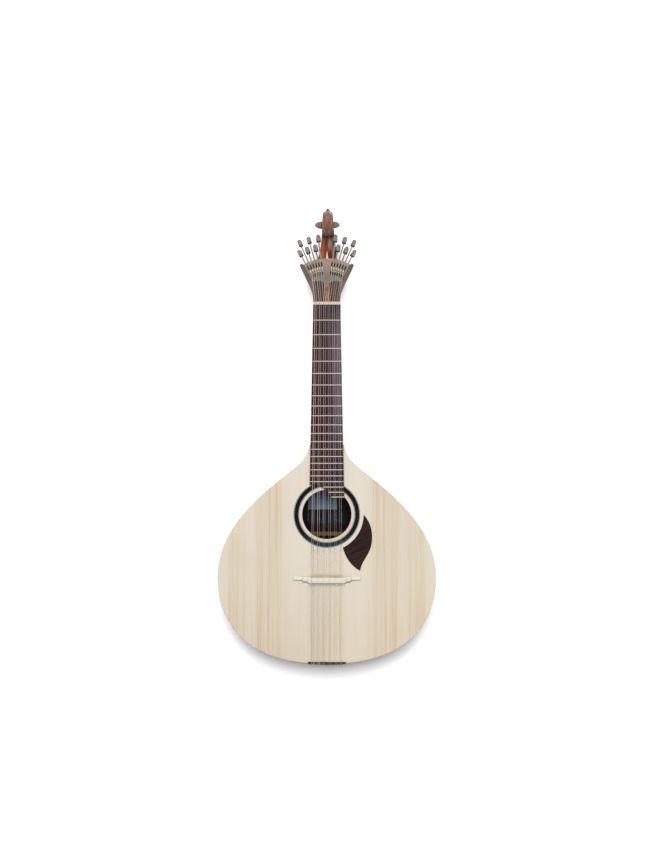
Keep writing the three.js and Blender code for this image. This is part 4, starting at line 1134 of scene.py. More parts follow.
    def lifted(self, name: str, material: bpy.types.Material) -> bpy.types.Object:
        """Takes the mesh off the bench, in metres, as an object with one finish.

        Args:
            name: the object's name.
            material: its finish.

        Returns:
            The object.
        """
        bmesh.ops.recalc_face_normals(self.mesh, faces=self.mesh.faces[:])
        bmesh.ops.scale(self.mesh, vec=(MILLIMETRE,) * 3, verts=self.mesh.verts[:])
        data = bpy.data.meshes.new(name)
        self.mesh.to_mesh(data)
        self.mesh.free()
        data.materials.append(material)
        return linked(name, data)

    def done(
        self, name: str, material: bpy.types.Material, slot: str, body: Optional[str] = "root",
        smooth: float = 32.0, replaces: Sequence[str] = (),
    ) -> bpy.types.Object:
        """Takes the piece off the bench, in metres, dressed and on its body.

        Args:
            name: the piece's name.
            material: its finish.
            slot: a material slot's name; not used.
            body: the CAD body that it rides on, or None for a piece that rides on none.
            smooth: edges that turn less than this, in degrees, are shaded smooth.
            replaces: the CAD nodes that it stands for.

        Returns:
            The object.
        """
        bmesh.ops.remove_doubles(self.mesh, verts=self.mesh.verts[:], dist=1e-5)
        made = self.lifted(name, material)
        made.data.shade_smooth()
        made.data.set_sharp_from_angle(angle=radians(smooth))
        if body is not None:
            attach(made, body)
        if replaces:
            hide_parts(*replaces)
        LOG.info("%s: %d faces on %s", name, len(made.data.polygons), body or "a blend")
        return made


def linked(name: str, data: bpy.types.ID) -> bpy.types.Object:
    """Puts a new object with its data into the scene."""
    made = bpy.data.objects.new(name, data)
    bpy.context.scene.collection.objects.link(made)
    return made


def dress(nodes: Sequence[str], material: bpy.types.Material) -> None:
    """Gives CAD nodes a finish."""
    for node in nodes:
        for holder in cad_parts[node].material_slots:
            holder.material = material


def curve(points: Sequence[Pair], steps: Sequence[int]) -> list[Pair]:
    """Samples a chain of cubic curves.

    Args:
        points: end and control points, three for each curve after the first end.
        steps: the number of steps on each curve.

    Returns:
        The points along the chain.
    """
    line: list[Pair] = []
    for index, count in enumerate(steps):
        knots = [Vector((*point, 0)) for point in points[3 * index : 3 * index + 4]]
        samples = interpolate_bezier(*knots, count + 1)
        line += [(point.x, point.y) for point in samples[1 if index else 0 :]]
    return line


def arc(centre: Pair, radius: float, start: float, end: float, steps: int) -> list[Pair]:
    """Gives points on an arc, its angles in degrees from +X."""
    turns = [radians(start + (end - start) * i / steps) for i in range(steps + 1)]
    return [(centre[0] + radius * cos(t), centre[1] + radius * sin(t)) for t in turns]


def eased_path(knots: Sequence[Vector], reach: float, steps: int = 6) -> list[Vector]:
    """Rounds the corners of a path.

    Args:
        knots: its corners.
        reach: how far from a corner its rounding may start.
        steps: the number of steps on each rounding.

    Returns:
        The points along the rounded path.
    """
    path = [knots[0]]
    for before, here, after in zip(knots, knots[1:], knots[2:]):
        into = min(reach, (here - before).length * 0.48)
        out = min(reach, (after - here).length * 0.48)
        start = here + (before - here).normalized() * into
        end = here + (after - here).normalized() * out
        path += interpolate_bezier(start, start.lerp(here, 0.6), end.lerp(here, 0.6), end, steps + 1)
    path.append(knots[-1])
    return path


def wire_sections(path: Sequence[Vector], radius: float, sides: int) -> list[Section]:
    """Gives round sections along a path, each turned as little as it can be from the last.

    Args:
        path: the points along the wire's middle.
        radius: the wire's radius.
        sides: the number of points round it.

    Returns:
        A section for each point of the path.
    """
    sections = []
    tangent = (path[1] - path[0]).normalized()
    normal = tangent.orthogonal().normalized()
    for index, point in enumerate(path):
        before = path[max(index - 1, 0)]
        after = path[min(index + 1, len(path) - 1)]
        fresh = (after - before).normalized()
        normal = tangent.rotation_difference(fresh) @ normal
        tangent = fresh
        side = tangent.cross(normal)
        turns = [2 * pi * i / sides for i in range(sides)]
        sections.append(
            [point + radius * (cos(t) * normal + sin(t) * side) for t in turns]
        )
    return sections


def through(points: Sequence[Pair], steps: int) -> list[Pair]:
    """Draws a smooth line through points.

    Args:
        points: the points in order.
        steps: the number of steps from one point to the next.

    Returns:
        The points along the line.
    """
    knots = [Vector((*point, 0)) for point in points]
    line = [points[0]]
    for index in range(len(knots) - 1):
        before, here = knots[max(index - 1, 0)], knots[index]
        there, after = knots[index + 1], knots[min(index + 2, len(knots) - 1)]
        handles = here + (there - before) / 6, there - (after - here) / 6
        samples = interpolate_bezier(here, *handles, there, steps + 1)
        line += [(point.x, point.y) for point in samples[1:]]
    return line


def mirrored(half: Sequence[Pair]) -> list[Pair]:
    """Closes a treble half with its mirror image, from the middle line and back."""
    return [*half, *[(-x, y) for x, y in reversed(half) if abs(x) > 1e-6]]


def between(first: float, last: float, share: float) -> float:
    """Gives the number that lies a share of the way from the first to the last."""
    return first + (last - first) * share


def spread_over(half: float, steps: int) -> list[float]:
    """Gives even places from one side of the middle line to the other."""
    return [between(-half, half, i / steps) for i in range(steps + 1)]


def eased(share: float) -> float:
    """Gives a share that starts and ends softly."""
    held = min(1.0, max(0.0, share))
    return held * held * (3 - 2 * held)


# Measures that several trades share

FRONT = 90.0
SOILING_AND_SHADE = "grime"
RIM: tuple[Pair, ...] = (
    (0, -138.2), (140.7, -138.2), (176.0, -63.6), (176.0, 1.7), (176.0, 87.1), (98.5, 139.7),
    (50.4, 178.4), (32.3, 193.0), (28.3, 209.4), (28.3, 213.5),
)
HOLE_CENTRE: Pair = (0, 102.6)
SCALE_LENGTH = 440.0
NECK_END = 445.0
NUT_HALF = 22.0
NUT_COURSES = 6.95
BRIDGE_COURSES = 9.4
COURSE_HALF = 1.45
STUD_STEP = 4.6
STRING_RADII = (0.35, 0.18, 0.3, 0.16, 0.25, 0.14, 0.19, 0.19, 0.14, 0.14, 0.12, 0.12)
SIDES = ((-1, "bass"), (1, "treble"))
FAN_RADIUS = 75.0
FAN_FOOT = 2.0
FAN_HALF_ANGLE = 30.16
FIRST_SPOKE = 7.2
SPOKE_STEP = 3.95
SPOKES = tuple(
    side * (FIRST_SPOKE + SPOKE_STEP * step)
    for side, steps in ((-1, range(5, -1, -1)), (1, range(6)))
    for step in steps
)
LAID = Matrix.Rotation(-pi / 2, 4, "X")
HEAD_TILT = radians(14)
SCREW_DROP = 3.8
HOOK_REACH = 57.5


def rim_half(inset: float = 0.0) -> list[Pair]:
    """Gives the treble half of the body's outline.

    Args:
        inset: how far it is moved inwards.

    Returns:
        Its points from the tail's middle to the neck joint.
    """
    line = curve(RIM, (44, 40, 10))
    moved = []
    for before, here, after in zip([line[0], *line], line, [*line[1:], line[-1]]):
        along = Vector((after[0] - before[0], after[1] - before[1])).normalized()
        moved.append((max(here[0] - along.y * inset, 0), here[1] + along.x * inset))
    top = RIM[-1][1] - inset
    kept = [point for point in moved if point[1] < top - 0.2]
    return [*kept, (moved[-1][0], top)]


def rim_at(x: float, inset: float = 0.0) -> float:
    """Gives the tail edge's Y at a distance from the middle line.

    Args:
        x: the distance.
        inset: how far the edge is moved inwards.

    Returns:
        The edge's Y.
    """
    points = rim_half(inset)
    for near, far in zip(points, points[1:]):
        if far[0] > abs(x):
            return between(near[1], far[1], (abs(x) - near[0]) / (far[0] - near[0]))
    return 0.0


def string_side(index: int, spacing: float) -> float:
    """Gives a string's distance from the middle line, where courses stand a spacing apart."""
    return (index // 2 - 2.5) * spacing + (COURSE_HALF if index % 2 else -COURSE_HALF)


def stud_side(index: int) -> float:
    """Gives a tail stud's distance from the middle line."""
    return (index - 5.5) * STUD_STEP


def fret_y(number: int) -> float:
    """Gives a fret's place along the strings."""
    return SCALE_LENGTH * 2 ** (-number / 12)


def neck_half(y: float) -> float:
    """Gives half the fingerboard's width."""
    return NUT_HALF + 6 * (SCALE_LENGTH - y) / 311.4


def on_head() -> Matrix:
    """Gives the matrix from the head's plane to the instrument."""
    return Matrix.Translation((0, NECK_END, FRONT)) @ Matrix.Rotation(-HEAD_TILT, 4, "X")


def on_spoke(angle: float) -> Matrix:
    """Gives the matrix from a screw's axis, with Y along it, to the instrument."""
    turn = Matrix.Rotation(-radians(angle), 4, "Z")
    return on_head() @ Matrix.Translation((0, -FAN_FOOT, -SCREW_DROP)) @ turn


def fan_point(angle: float, radius: float) -> Pair:
    """Gives a point of the fan, its angle in degrees from the head's middle line."""
    turn = radians(angle)
    return (radius * sin(turn), radius * cos(turn) - FAN_FOOT)


def fan_arc(radius: float, start: float, end: float, steps: int) -> list[Pair]:
    """Gives points on an arc of the fan."""
    return [fan_point(between(start, end, i / steps), radius) for i in range(steps + 1)]


@dataclass
class SoundBox:
    """The body: soundboard, rosette, ribs, arched back, pickguard, tail strip and papers."""

    rack: Rack
    board: float = 2.8
    rib: float = 2.4
    back: float = 2.6
    hole_radius: float = 39.1
    seat_radius: float = 53.8
    strip_half: float = 30.2
    strip_depth: float = 3.3
    strip_rise: float = 1.2
    arch_radius: float = 785.5
    flat_half: float = 46.0

    def arch(self, x: float) -> float:
        """Gives how far the back has risen at a distance from the middle line."""
        out = max(0.0, abs(x) - self.flat_half)
        return self.arch_radius - sqrt(self.arch_radius**2 - out**2)

    def soundboard(self) -> None:
        """Makes the soundboard, with the hole, the rosette's seat and the strip's notch."""
        notch = self.strip_half + 0.1
        far = RIM[0][1] + self.strip_depth + 0.1
        rim = [point for point in rim_half() if point[0] > notch + 1 or point[1] > 0]
        corner = [(0, far), (notch, far), (notch, rim_at(notch))]
        hole = arc(HOLE_CENTRE, self.seat_radius, 90, -90, 48)
        half = [*corner, *rim, (0, RIM[-1][1]), *hole]
        stock = Stock()
        ring = stock.ring([Vector((x, y, FRONT - self.board)) for x, y in half])
        stock.cap(ring)
        geom = stock.mesh.verts[:] + stock.mesh.edges[:] + stock.mesh.faces[:]
        bmesh.ops.mirror(stock.mesh, geom=geom, matrix=Matrix(), merge_dist=1e-3, axis="X")
        stock.raise_faces(stock.mesh.faces[:], Vector((0, 0, self.board)))
        seat = Vector((*HOLE_CENTRE, FRONT))
        stock.ease(0.8, 3, 40, lambda p: p.z > FRONT - 0.1 and (p - seat).length > 56)
        low, high = FRONT - self.board, FRONT - 1.25
        profile = [(self.hole_radius, low), (53.75, low), (53.75, high), (self.hole_radius, high)]
        floor = Stock().turned([*profile, profile[0]], 96)
        stock.add(floor.place(Matrix.Translation((*HOLE_CENTRE, 0))))
        finish = self.rack["spruce_top"]
        stock.done("soundboard_top", finish, "soundboard_spruce", replaces=["soundboard"])

    def rosette(self) -> None:
        """Makes the rosette's rings, from the hole outwards."""
        rows = (
            ("lip", 39.1, 39.7, "rosette_black"), ("ring_pale", 39.74, 44.5, "rosette_maple"),
            ("rope_inner", 44.54, 46.0, "rosette_rope"),
            ("ring_dark", 46.04, 52.16, "rosette_black"),
            ("rope_outer", 52.2, 53.7, "rosette_rope"),
        )
        for name, inner, outer, finish in rows:
            low, high, ease = FRONT - 1.2, FRONT, 0.1
            profile = [
                (inner, low), (outer, low), (outer, high - ease), (outer - ease, high),
                (inner + ease, high), (inner, high - ease), (inner, low),
            ]
            ring = Stock().turned(profile, 128).place(Matrix.Translation((*HOLE_CENTRE, 0)))
            stands = ["rosette"] if name == "ring_dark" else []
            ring.done(f"rosette_{name}", self.rack[finish], "rosette_inlay", replaces=stands)

    def ribs(self) -> None:
        """Makes the two bent ribs."""
        for side, name in SIDES:
            inner = list(reversed(rim_half(self.rib)))
            top = RIM[-1][1]
            ring = [*rim_half(), (0.05, top), (0.05, top - self.rib), *inner]
            plan = [(side * max(x, 0.05), y) for x, y in ring]
            stock = Stock().plate(plan, 0, FRONT - self.board - 0.1)

            def follow(point: Vector) -> Vector:
                """Lifts a point of the rib's lower edge onto the arched back."""
                low = self.arch(point.x) + self.back + 0.1
                return Vector((point.x, point.y, max(point.z, low)))

            stock.shape(follow)
            finish = self.rack["side_wood"]
            stock.done(f"rib_{name}_bent", finish, "side_wood", replaces=[f"rib_{name}"])

    def back_plate(self) -> None:
        """Makes the arched back of two halves with a fine strip between them."""
        places = [4.0 * i for i in range(-44, 45)]
        for side, name in SIDES:
            half = [(side * max(x, 0.9), y) for x, y in rim_half()]
            plan = [*half, (side * 0.9, RIM[-1][1])]
            stock = Stock().plate(plan, 0, self.back)
            stock.ease(0.7, 3, 40, lambda p: p.z < 0.1 and abs(p.x) > 2).slice(0, places)
            stock.shape(lambda p: Vector((p.x, p.y, p.z + self.arch(p.x))))
            stands = ["back"] if side > 0 else []
            finish = self.rack["side_wood"]
            stock.done(f"back_{name}_half", finish, "side_wood", replaces=stands)
        strip = [(-0.86, -137.9), (0.86, -137.9), (0.86, 213.4), (-0.86, 213.4)]
        middle = self.back / 2
        line = Stock().plate(strip, 0.05, middle)
        line.done("back_centre_strip", self.rack["rosette_maple"], "side_wood")
        bed = Stock().plate(strip, middle + 0.04, self.back)
        bed.done("back_strip_bed", self.rack["side_wood"], "side_wood")

    def pickguard(self) -> None:
        """Makes the leaf-shaped pickguard beside the hole."""
        hollow = arc(HOLE_CENTRE, 59.3, -0.5, -64, 18)
        corners = [hollow[-1], (53.9, 12.1), (72.9, 66.0), hollow[0]]
        handles = (((0.12, 0.42), (0.52, 0.84)), ((0.12, 0.36), (1, 0.48)), ((0, 0.42), (0.36, 0.76)))
        chain: list[Pair] = [corners[0]]
        for start, end, pair in zip(corners, corners[1:], handles):
            for x, y in pair:
                chain.append((between(start[0], end[0], x), between(start[1], end[1], y)))
            chain.append(end)
        plan = [*hollow, *curve(chain, (16, 18, 12))[1:-1]]
        stock = Stock().plate(plan, FRONT + 0.1, FRONT + 1.3)
        stock.ease(0.4, 3, 50, lambda p: p.z > FRONT + 1.2)
        leaf = self.rack["rosewood_leaf"]
        stock.done("pickguard_leaf", leaf, "pickguard_rosewood", replaces=["pickguard"])

    def tail_strip(self) -> None:
        """Makes the hardwood strip that carries the strings over the tail's edge."""
        half = self.strip_half
        xs = spread_over(half, 24)
        far = RIM[0][1] + self.strip_depth
        plan = [*[(x, rim_at(x, -1.2)) for x in xs], (half, far), (-half, far)]
        stock = Stock().plate(plan, FRONT - self.board, FRONT + self.strip_rise)
        stock.ease(0.5, 3, 40, lambda p: p.z > FRONT)
        wood = self.rack["tail_strip_wood"]
        stock.done("tail_strip", wood, "saddle_wood", replaces=["tail_saddle"])

    def papers(self) -> None:
        """Lays two bare papers on the back, under the hole."""
        for name, finish, low, high, lift in (
            ("paper_upper", "label_paper", (-31.0, 89.0), (17.0, 142.0), 0.1),
            ("paper_lower", "label_paper_in_shade", (-30.5, 84.7), (34.5, 107.5), 0.4),
        ):
            plan = [low, (high[0], low[1]), high, (low[0], high[1])]
            stock = Stock().plate(plan, self.back + lift, self.back + lift + 0.25)
            stock.done(name, self.rack[finish], "inner_wood")

    def inside(self) -> None:
        """Dresses the CAD pieces inside the body."""
        dress(("top_lining", "back_lining", "neck_block", "tail_block"), self.rack["inner_wood"])
        bars = [f"top_brace_{place}" for place in ("upper", "middle", "lower")]
        dress([*bars, "back_brace_upper", "back_brace_lower"], self.rack["brace_wood"])

    def build(self) -> None:
        """Makes the whole body."""
        self.soundboard()
        self.rosette()
        self.ribs()
        self.back_plate()
        self.pickguard()
        self.tail_strip()
        self.papers()
        self.inside()


@dataclass
class Neck:
    """The neck with its heel, the fingerboard with 21 frets, and the nut."""

    rack: Rack
    start: float = 213.6
    end: float = NECK_END
    bass_end: float = 150.5
    treble_end: float = 128.6
    stations: int = 34
    board_low: float = 90.1
    board_top: float = 96.1
    board_radius: float = 300.0
    sections: dict[str, tuple[Pair, ...]] = field(
        default_factory=lambda: {
            "neck": ((1, 0), (0.99, 0.2), (0.9, 0.52), (0.72, 0.78), (0.46, 0.94), (0.16, 1)),
            "heel": ((1, 0), (0.95, 0.2), (0.86, 0.48), (0.74, 0.74), (0.56, 0.95), (0.4, 1)),
            "head": ((1, 0), (1, 0.3), (1, 0.6), (1, 0.9), (0.92, 1), (0.4, 1)),
        }
    )

    def section(self, share: float) -> Section:
        """Gives the neck's section at a share of its length.

        Args:
            share: 0 at the body and 1 at the nut.

        Returns:
            The section.
        """
        y = between(self.start, self.end, share**1.7)
        heel = max(0.0, 1 - (y - self.start) / 62)
        square = max(0.0, 1 - (self.end - y) / 26) ** 2
        slender = between(18, 15, (y - self.start) / (self.end - self.start))
        depth = between(slender, FRONT, heel**2.4)
        right = []
        for mid, low, top in zip(*self.sections.values()):
            wide, deep = (
                m + (h - m) * heel**0.7 + (t - m) * square for m, h, t in zip(mid, low, top)
            )
            right.append((wide * neck_half(y), -deep * depth))
        line = through([*right, (0, -depth)], 4)
        lean = tan(HEAD_TILT) if share == 1 else 0.0
        outline = mirrored([(x, max(z, -depth)) for x, z in line])
        return [Vector((x, y + lean * z, FRONT + z)) for x, z in outline]

    def shaft(self) -> None:
        """Makes the neck and its heel."""
        rows = [self.section(i / self.stations) for i in range(self.stations + 1)]
        stock = Stock().loft(rows)
        stock.done("neck_shaft", self.rack["neck_wood"], "neck_wood", replaces=["neck"])

    def sag(self, x: float) -> float:
        """Gives how far the board's arched top has fallen away from its middle."""
        return self.board_radius - sqrt(self.board_radius**2 - x**2)

    def sweep(self) -> list[Pair]:
        """Gives the swept end of the board, from its bass part to its treble part."""
        bass = self.bass_end
        return curve([(-17, bass), (-8.5, bass), (1.85, 139.55), (7.4, self.treble_end)], (14,))

    def board(self) -> None:
        """Makes the fingerboard."""
        near = [*self.sweep(), (neck_half(self.treble_end), self.treble_end)]
        far = [(NUT_HALF, SCALE_LENGTH), (-NUT_HALF, SCALE_LENGTH)]
        plan = [(-neck_half(self.bass_end), self.bass_end), *near, *far]
        stock = Stock().plate(plan, self.board_low, self.board_top)
        stock.ease(0.5, 3, 40, lambda p: p.z > self.board_top - 0.1)
        stock.slice(0, [2.0 * i for i in range(-13, 14)])

        def arched(point: Vector) -> Vector:
            """Bends the top of the board to its arch."""
            share = (point.z - self.board_low) / (self.board_top - self.board_low)
            return Vector((point.x, point.y, point.z - self.sag(point.x) * share))

        stock.shape(arched)
        finish = self.rack["fingerboard_rosewood"]
        stock.done("fingerboard_plate", finish, "fingerboard_wood", replaces=["fingerboard"])

    def fret(self, number: int) -> None:
        """Makes one fret: a crowned wire that follows the board's arch, its ends filed over.

        Args:
            number: the fret's number, 1 next to the nut.
        """
        y = fret_y(number)
        left = -neck_half(y)
        for near, far in zip(self.sweep(), self.sweep()[1:]):
            if far[1] <= y <= near[1]:
                left = between(near[0], far[0], (near[1] - y) / (near[1] - far[1])) + 0.7
        right = neck_half(y)
        rows = []
        spread = 14
        for i in range(spread + 1):
            x = between(left + 0.15, right - 0.15, i / spread)
            short = 0.45 if i in (0, spread) else 1.0
            crown = []
            for turn in range(0, 181, 20):
                angle = radians(turn)
                rise = sin(angle) * 0.98 * short - 0.2
                spot = self.board_top - self.sag(x) + rise
                crown.append(Vector((x, y + cos(angle) * 0.8 * short, spot)))
            rows.append(crown)
        Stock().loft(rows).done(f"fret_{number:02d}", self.rack["fret_nickel"], "fan_metal")

    def nut(self) -> None:
        """Makes the bone nut with a slot for each string."""
        top, slot = 98.5, 97.6
        low = self.board_low
        line = [(NUT_HALF, low), (NUT_HALF, top - 0.9), (21.7, top - 0.25), (21.1, top)]
        for index in reversed(range(12)):
            x = string_side(index, NUT_COURSES)
            half = STRING_RADII[index] + 0.1
            line += [(x + 2 * half, top), (x + half, slot), (x - half, slot), (x - 2 * half, top)]
        line += [(-x, z) for x, z in reversed(line[:4])]
        rows = []
        steps = ((440.1, 0.5), (440.5, 0.12), (441.1, 0), (443.6, 0), (444.6, 0.3), (NECK_END, 0.8))
        for y, drop in steps:
            rows.append([Vector((x, y, z - (drop if z > 97 else 0))) for x, z in line])
        Stock().loft(rows).done("nut_bar", self.rack["nut_bone"], "nut_bone", replaces=["nut"])

    def build(self) -> None:
        """Makes the neck and all on it."""
        self.shaft()
        self.board()
        for number in range(1, 22):
            self.fret(number)
        self.nut()


@dataclass
class Head:
    """The head block with the fan's recess, and the carved stem that ends in a scroll."""

    rack: Rack
    thickness: float = 22.0
    recess: float = 8.5
    lean_in: float = 0.075
    recess_radius: float = 44.5
    arc_radius: float = FAN_RADIUS
    half_angle: float = FAN_HALF_ANGLE
    recess_angle: float = 28.93
    centre: Pair = (129.2, 1.5)
    spiral_radius: float = 24.5
    band_half: float = 9.0
    foot_half: float = 16.9
    foot: float = 73.0
    base: float = 62.5
    under: float = -8.8
    dip: Pair = (95.1, -17.0)
    columns: int = 28
    flank: tuple[Pair, ...] = (
        (22, 0), (22, 7.84), (25.3, 20.7), (32.6, 37.3), (39.3, 50.6), (43.7, 60.9), (43.1, 63.6),
        (40.2, 65.6),
    )
    ridge: tuple[Pair, ...] = ((0, 1), (0.25, 0.6), (0.5, -0.5), (0.75, -0.6), (1, 0))
    top_half: float = 7.8
    coil_inset: float = 2.1
    drift: float = 1.6
    tip_width: float = 1.15
    bud: tuple[Pair, ...] = (
        (0.0, 3.0), (4.6, 3.2), (6.0, 7.0), (6.3, 9.6), (5.7, 13.4), (4.3, 17.2), (2.2, 19.8),
        (0.0, 20.3),
    )
    tip: tuple[Pair, ...] = (
        (0.0, 0.0), (4.2, 0.2), (4.5, 2.0), (4.1, 4.0), (2.9, 6.4), (1.75, 8.2), (0.9, 9.1),
        (0.0, 9.4),
    )

    def block(self) -> None:
        """Makes the head block."""
        side = through(self.flank, 4)
        bound, bay = self.half_angle, self.recess_angle
        top = [fan_point(bound, self.arc_radius)]
        top += fan_arc(self.arc_radius, bay, -bay, 28)
        top += [fan_point(-bound, self.arc_radius)]
        corners = (fan_point(bay, self.arc_radius), fan_point(-bay, self.arc_radius))
        plan = [*side, *top, *[(-x, y) for x, y in reversed(side)]]
        stock = Stock()
        ring = stock.ring([Vector((x, y, -self.recess)) for x, y in plan])
        face = stock.cap(ring)[0]
        ends = [min(ring, key=lambda v: (v.co.xy - Vector(c)).length) for c in corners]
        path = fan_arc(self.recess_radius, bay, -bay, 16)
        cut = [Vector((x, y, -self.recess)) for x, y in path]
        bmesh.utils.face_split(face, *ends, coords=cut)
        depth = Vector((0, 0, self.recess - self.thickness))
        stock.raise_faces(stock.mesh.faces[:], depth)
        bed = [f for f in stock.mesh.faces if abs(f.calc_center_median().z + self.recess) < 0.01]
        nose = min(bed, key=lambda f: min(v.co.y for v in f.verts))
        stock.raise_faces([nose], Vector((0, 0, self.recess)))
        bmesh.ops.recalc_face_normals(stock.mesh, faces=stock.mesh.faces[:])
        stock.ease(0.7, 3, 40, lambda p: p.z > -0.1)
        stock.ease(2.2, 4, 40, lambda p: p.z < 0.1 - self.thickness and p.y > 1)
        stock.slice(1, [0.3 + 1.6 * i for i in range(17)])

        def swell(point: Vector) -> Vector:
            """Thins the block towards the nut and leans its outer sides in.

            Args:
                point: a point of the block.

            Returns:
                Its new place.
            """
            share = min(1.0, max(0.0, point.y / 26))
            low = between(15.0, self.thickness, 1 - (1 - share) ** 2)
            fall = max(0.0, (-point.z - self.recess) / (self.thickness - self.recess))
            bay = tan(radians(29.5)) * (point.y + 2) + 2
            outer = eased((abs(point.x) - bay) / 5) * eased((point.y - 4) / 16)
            narrow = 1 + self.lean_in * outer * point.z / self.thickness
            deep = point.z + fall * (self.thickness - low)
            return Vector((point.x * narrow, max(point.y, 0.12), deep))

        stock.shape(swell).place(on_head())
        stock.done("head_block", self.rack["head_wood"], "head_wood", replaces=["head"])

    def spiral(self, degrees: float, share: float = 1.0) -> Pair:
        """Gives a point of the scroll's spiral, along and out of the head's plane.

        Args:
            degrees: how far the spiral has turned.
            share: the share of its radius.

        Returns:
            The point.
        """
        turn = radians(degrees)
        wound = min(degrees, 330) / 330
        radius = share * self.spiral_radius * (1 - 0.36 * wound**1.4)
        return (self.centre[0] + radius * sin(turn), self.centre[1] - radius * cos(turn))

    def half_at(self, along: float) -> float:
        """Gives half the stem's width at a place along the head.

        Args:
            along: the place, from the neck's end.

        Returns:
            Half the width.
        """
        rise = min(1.0, max(0.0, (along - self.foot) / (self.centre[0] - self.foot)))
        past = min(1.0, max(0.0, (along - self.centre[0]) / self.spiral_radius))
        half = between(self.band_half, self.top_half, past)
        return half + (self.foot_half - self.band_half) * (1 - rise) ** 1.7

    def side_line(self) -> list[Pair]:
        """Gives the side view of the stem and the scroll."""
        back, base = self.spiral(0), self.base
        handles = [(between(base, back[0], 0.4), -self.thickness)]
        handles += [(between(base, back[0], 0.7), back[1])]
        line = curve([(base, -self.thickness), *handles, back], (14,))
        line += [self.spiral(degrees) for degrees in range(6, 325, 6)]
        along, out = self.spiral(324)
        start, end = (along - 8, min(out, -13.5) - 0.3), (self.foot, self.under)
        handles = [tuple(between(a, b, 0.67) for a, b in zip(p, self.dip)) for p in (start, end)]
        line += [start, *curve([start, *handles, end], (12,))[1:]]
        return [*line, (base, self.under)]

    def share_of(self, table: Sequence[Pair], place: float) -> float:
        """Reads a table of shares at a place.

        Args:
            table: places and the shares there.
            place: where it is read.

        Returns:
            The share.
        """
        for (near, low), (far, high) in zip(table, table[1:]):
            if place <= far:
                return between(low, high, eased((place - near) / (far - near)))
        return table[-1][1]

    def carved(self, x_share: float, point: Pair) -> Vector:
        """Moves a point of the side view to its place on the carved band.

        Args:
            x_share: the place across the band, from -1 to 1.
            point: the point of the side view.

        Returns:
            The point on the band.
        """
        place = abs(x_share)
        away = Vector((point[0] - self.centre[0], point[1] - self.centre[1]))
        on_coil = away.y > 0 or away.x > 0
        carve = 0.9 * self.share_of(self.ridge, place) if on_coil else 0.0
        rounding = 1.1 * max(0.0, (place - 0.86) / 0.14) ** 2
        reach = (away.length + carve - rounding) / away.length
        along, out = self.centre[0] + away.x * reach, self.centre[1] + away.y * reach
        half = self.half_at(along) - (0.5 if place == 1 else 0)
        return Vector((copysign(place, x_share) * half + self.aside(along), along, out))

    def aside(self, along: float) -> float:
        """Gives how far the carver's hand has drifted to the treble side."""
        return self.drift * eased((along - 45) / 45)

    def stem(self) -> None:
        """Makes the stem and the scroll's band."""
        line = self.side_line()
        rows = []
        for i in range(self.columns + 1):
            share = 2 * i / self.columns - 1
            spread = copysign(1 - (1 - abs(share)) ** 1.25, share)
            rows.append([self.carved(spread, point) for point in line])
        stock = Stock().loft(rows).place(on_head())
        stock.done("head_stem", self.rack["stem_wood"], "head_wood", smooth=40)

    def volute(self) -> None:
        """Makes the raised coil on both sides of the scroll and its two buds."""
        for side, name in SIDES:
            path = []
            for degrees in range(30, 451, 10):
                share = between(0.86, 0.3, (degrees - 30) / 420)
                along, out = self.spiral(degrees, share)
                past = max(0.0, (along - self.centre[0]) / self.spiral_radius)
                side_at = between(self.band_half, self.top_half, past) - self.coil_inset
                path.append(Vector((side * side_at + self.aside(along), along, out)))
            rows = wire_sections(path, 1.0, 12)
            for index, row in enumerate(rows):
                share = index / (len(rows) - 1)
                width = between(2.6, 2.0, share) * (1 - max(0.0, share - 0.93) * 8)
                rows[index] = [path[index] + (point - path[index]) * width for point in row]
            stock = Stock().loft(rows).place(on_head())
            stock.done(f"scroll_coil_{name}", self.rack["stem_wood"], "head_wood")
            bud = through(self.bud, 3)
            turned = Stock().turned([(max(r, 0), h) for r, h in bud], 28)
            turned.place(Matrix.Rotation(side * pi / 2, 4, "Y"))
            under = 1.06 if side < 0 else 0.86
            turned.shape(lambda p: Vector((p.x, min(p.y, 5.2) if p.y > 0 else p.y * under, p.z)))
            turned.place(on_head() @ Matrix.Translation((0.9, self.centre[0] + 0.8, self.centre[1])))
            turned.done(f"scroll_bud_{name}", self.rack["stem_wood"], "head_wood")

    def teardrop(self) -> None:
        """Makes the teardrop that crowns the scroll."""
        top = self.spiral(90)[0] - 2.9
        line = [(max(radius * self.tip_width, 0), height) for radius, height in through(self.tip, 3)]
        drop = Stock().turned(line, 28)
        drop.place(on_head() @ Matrix.Translation((self.drift, top, self.centre[1])) @ LAID)
        drop.done("scroll_teardrop", self.rack["stem_wood"], "head_wood")

    def build(self) -> None:
        """Makes the head."""
        self.block()
        self.stem()
        self.volute()
        self.teardrop()


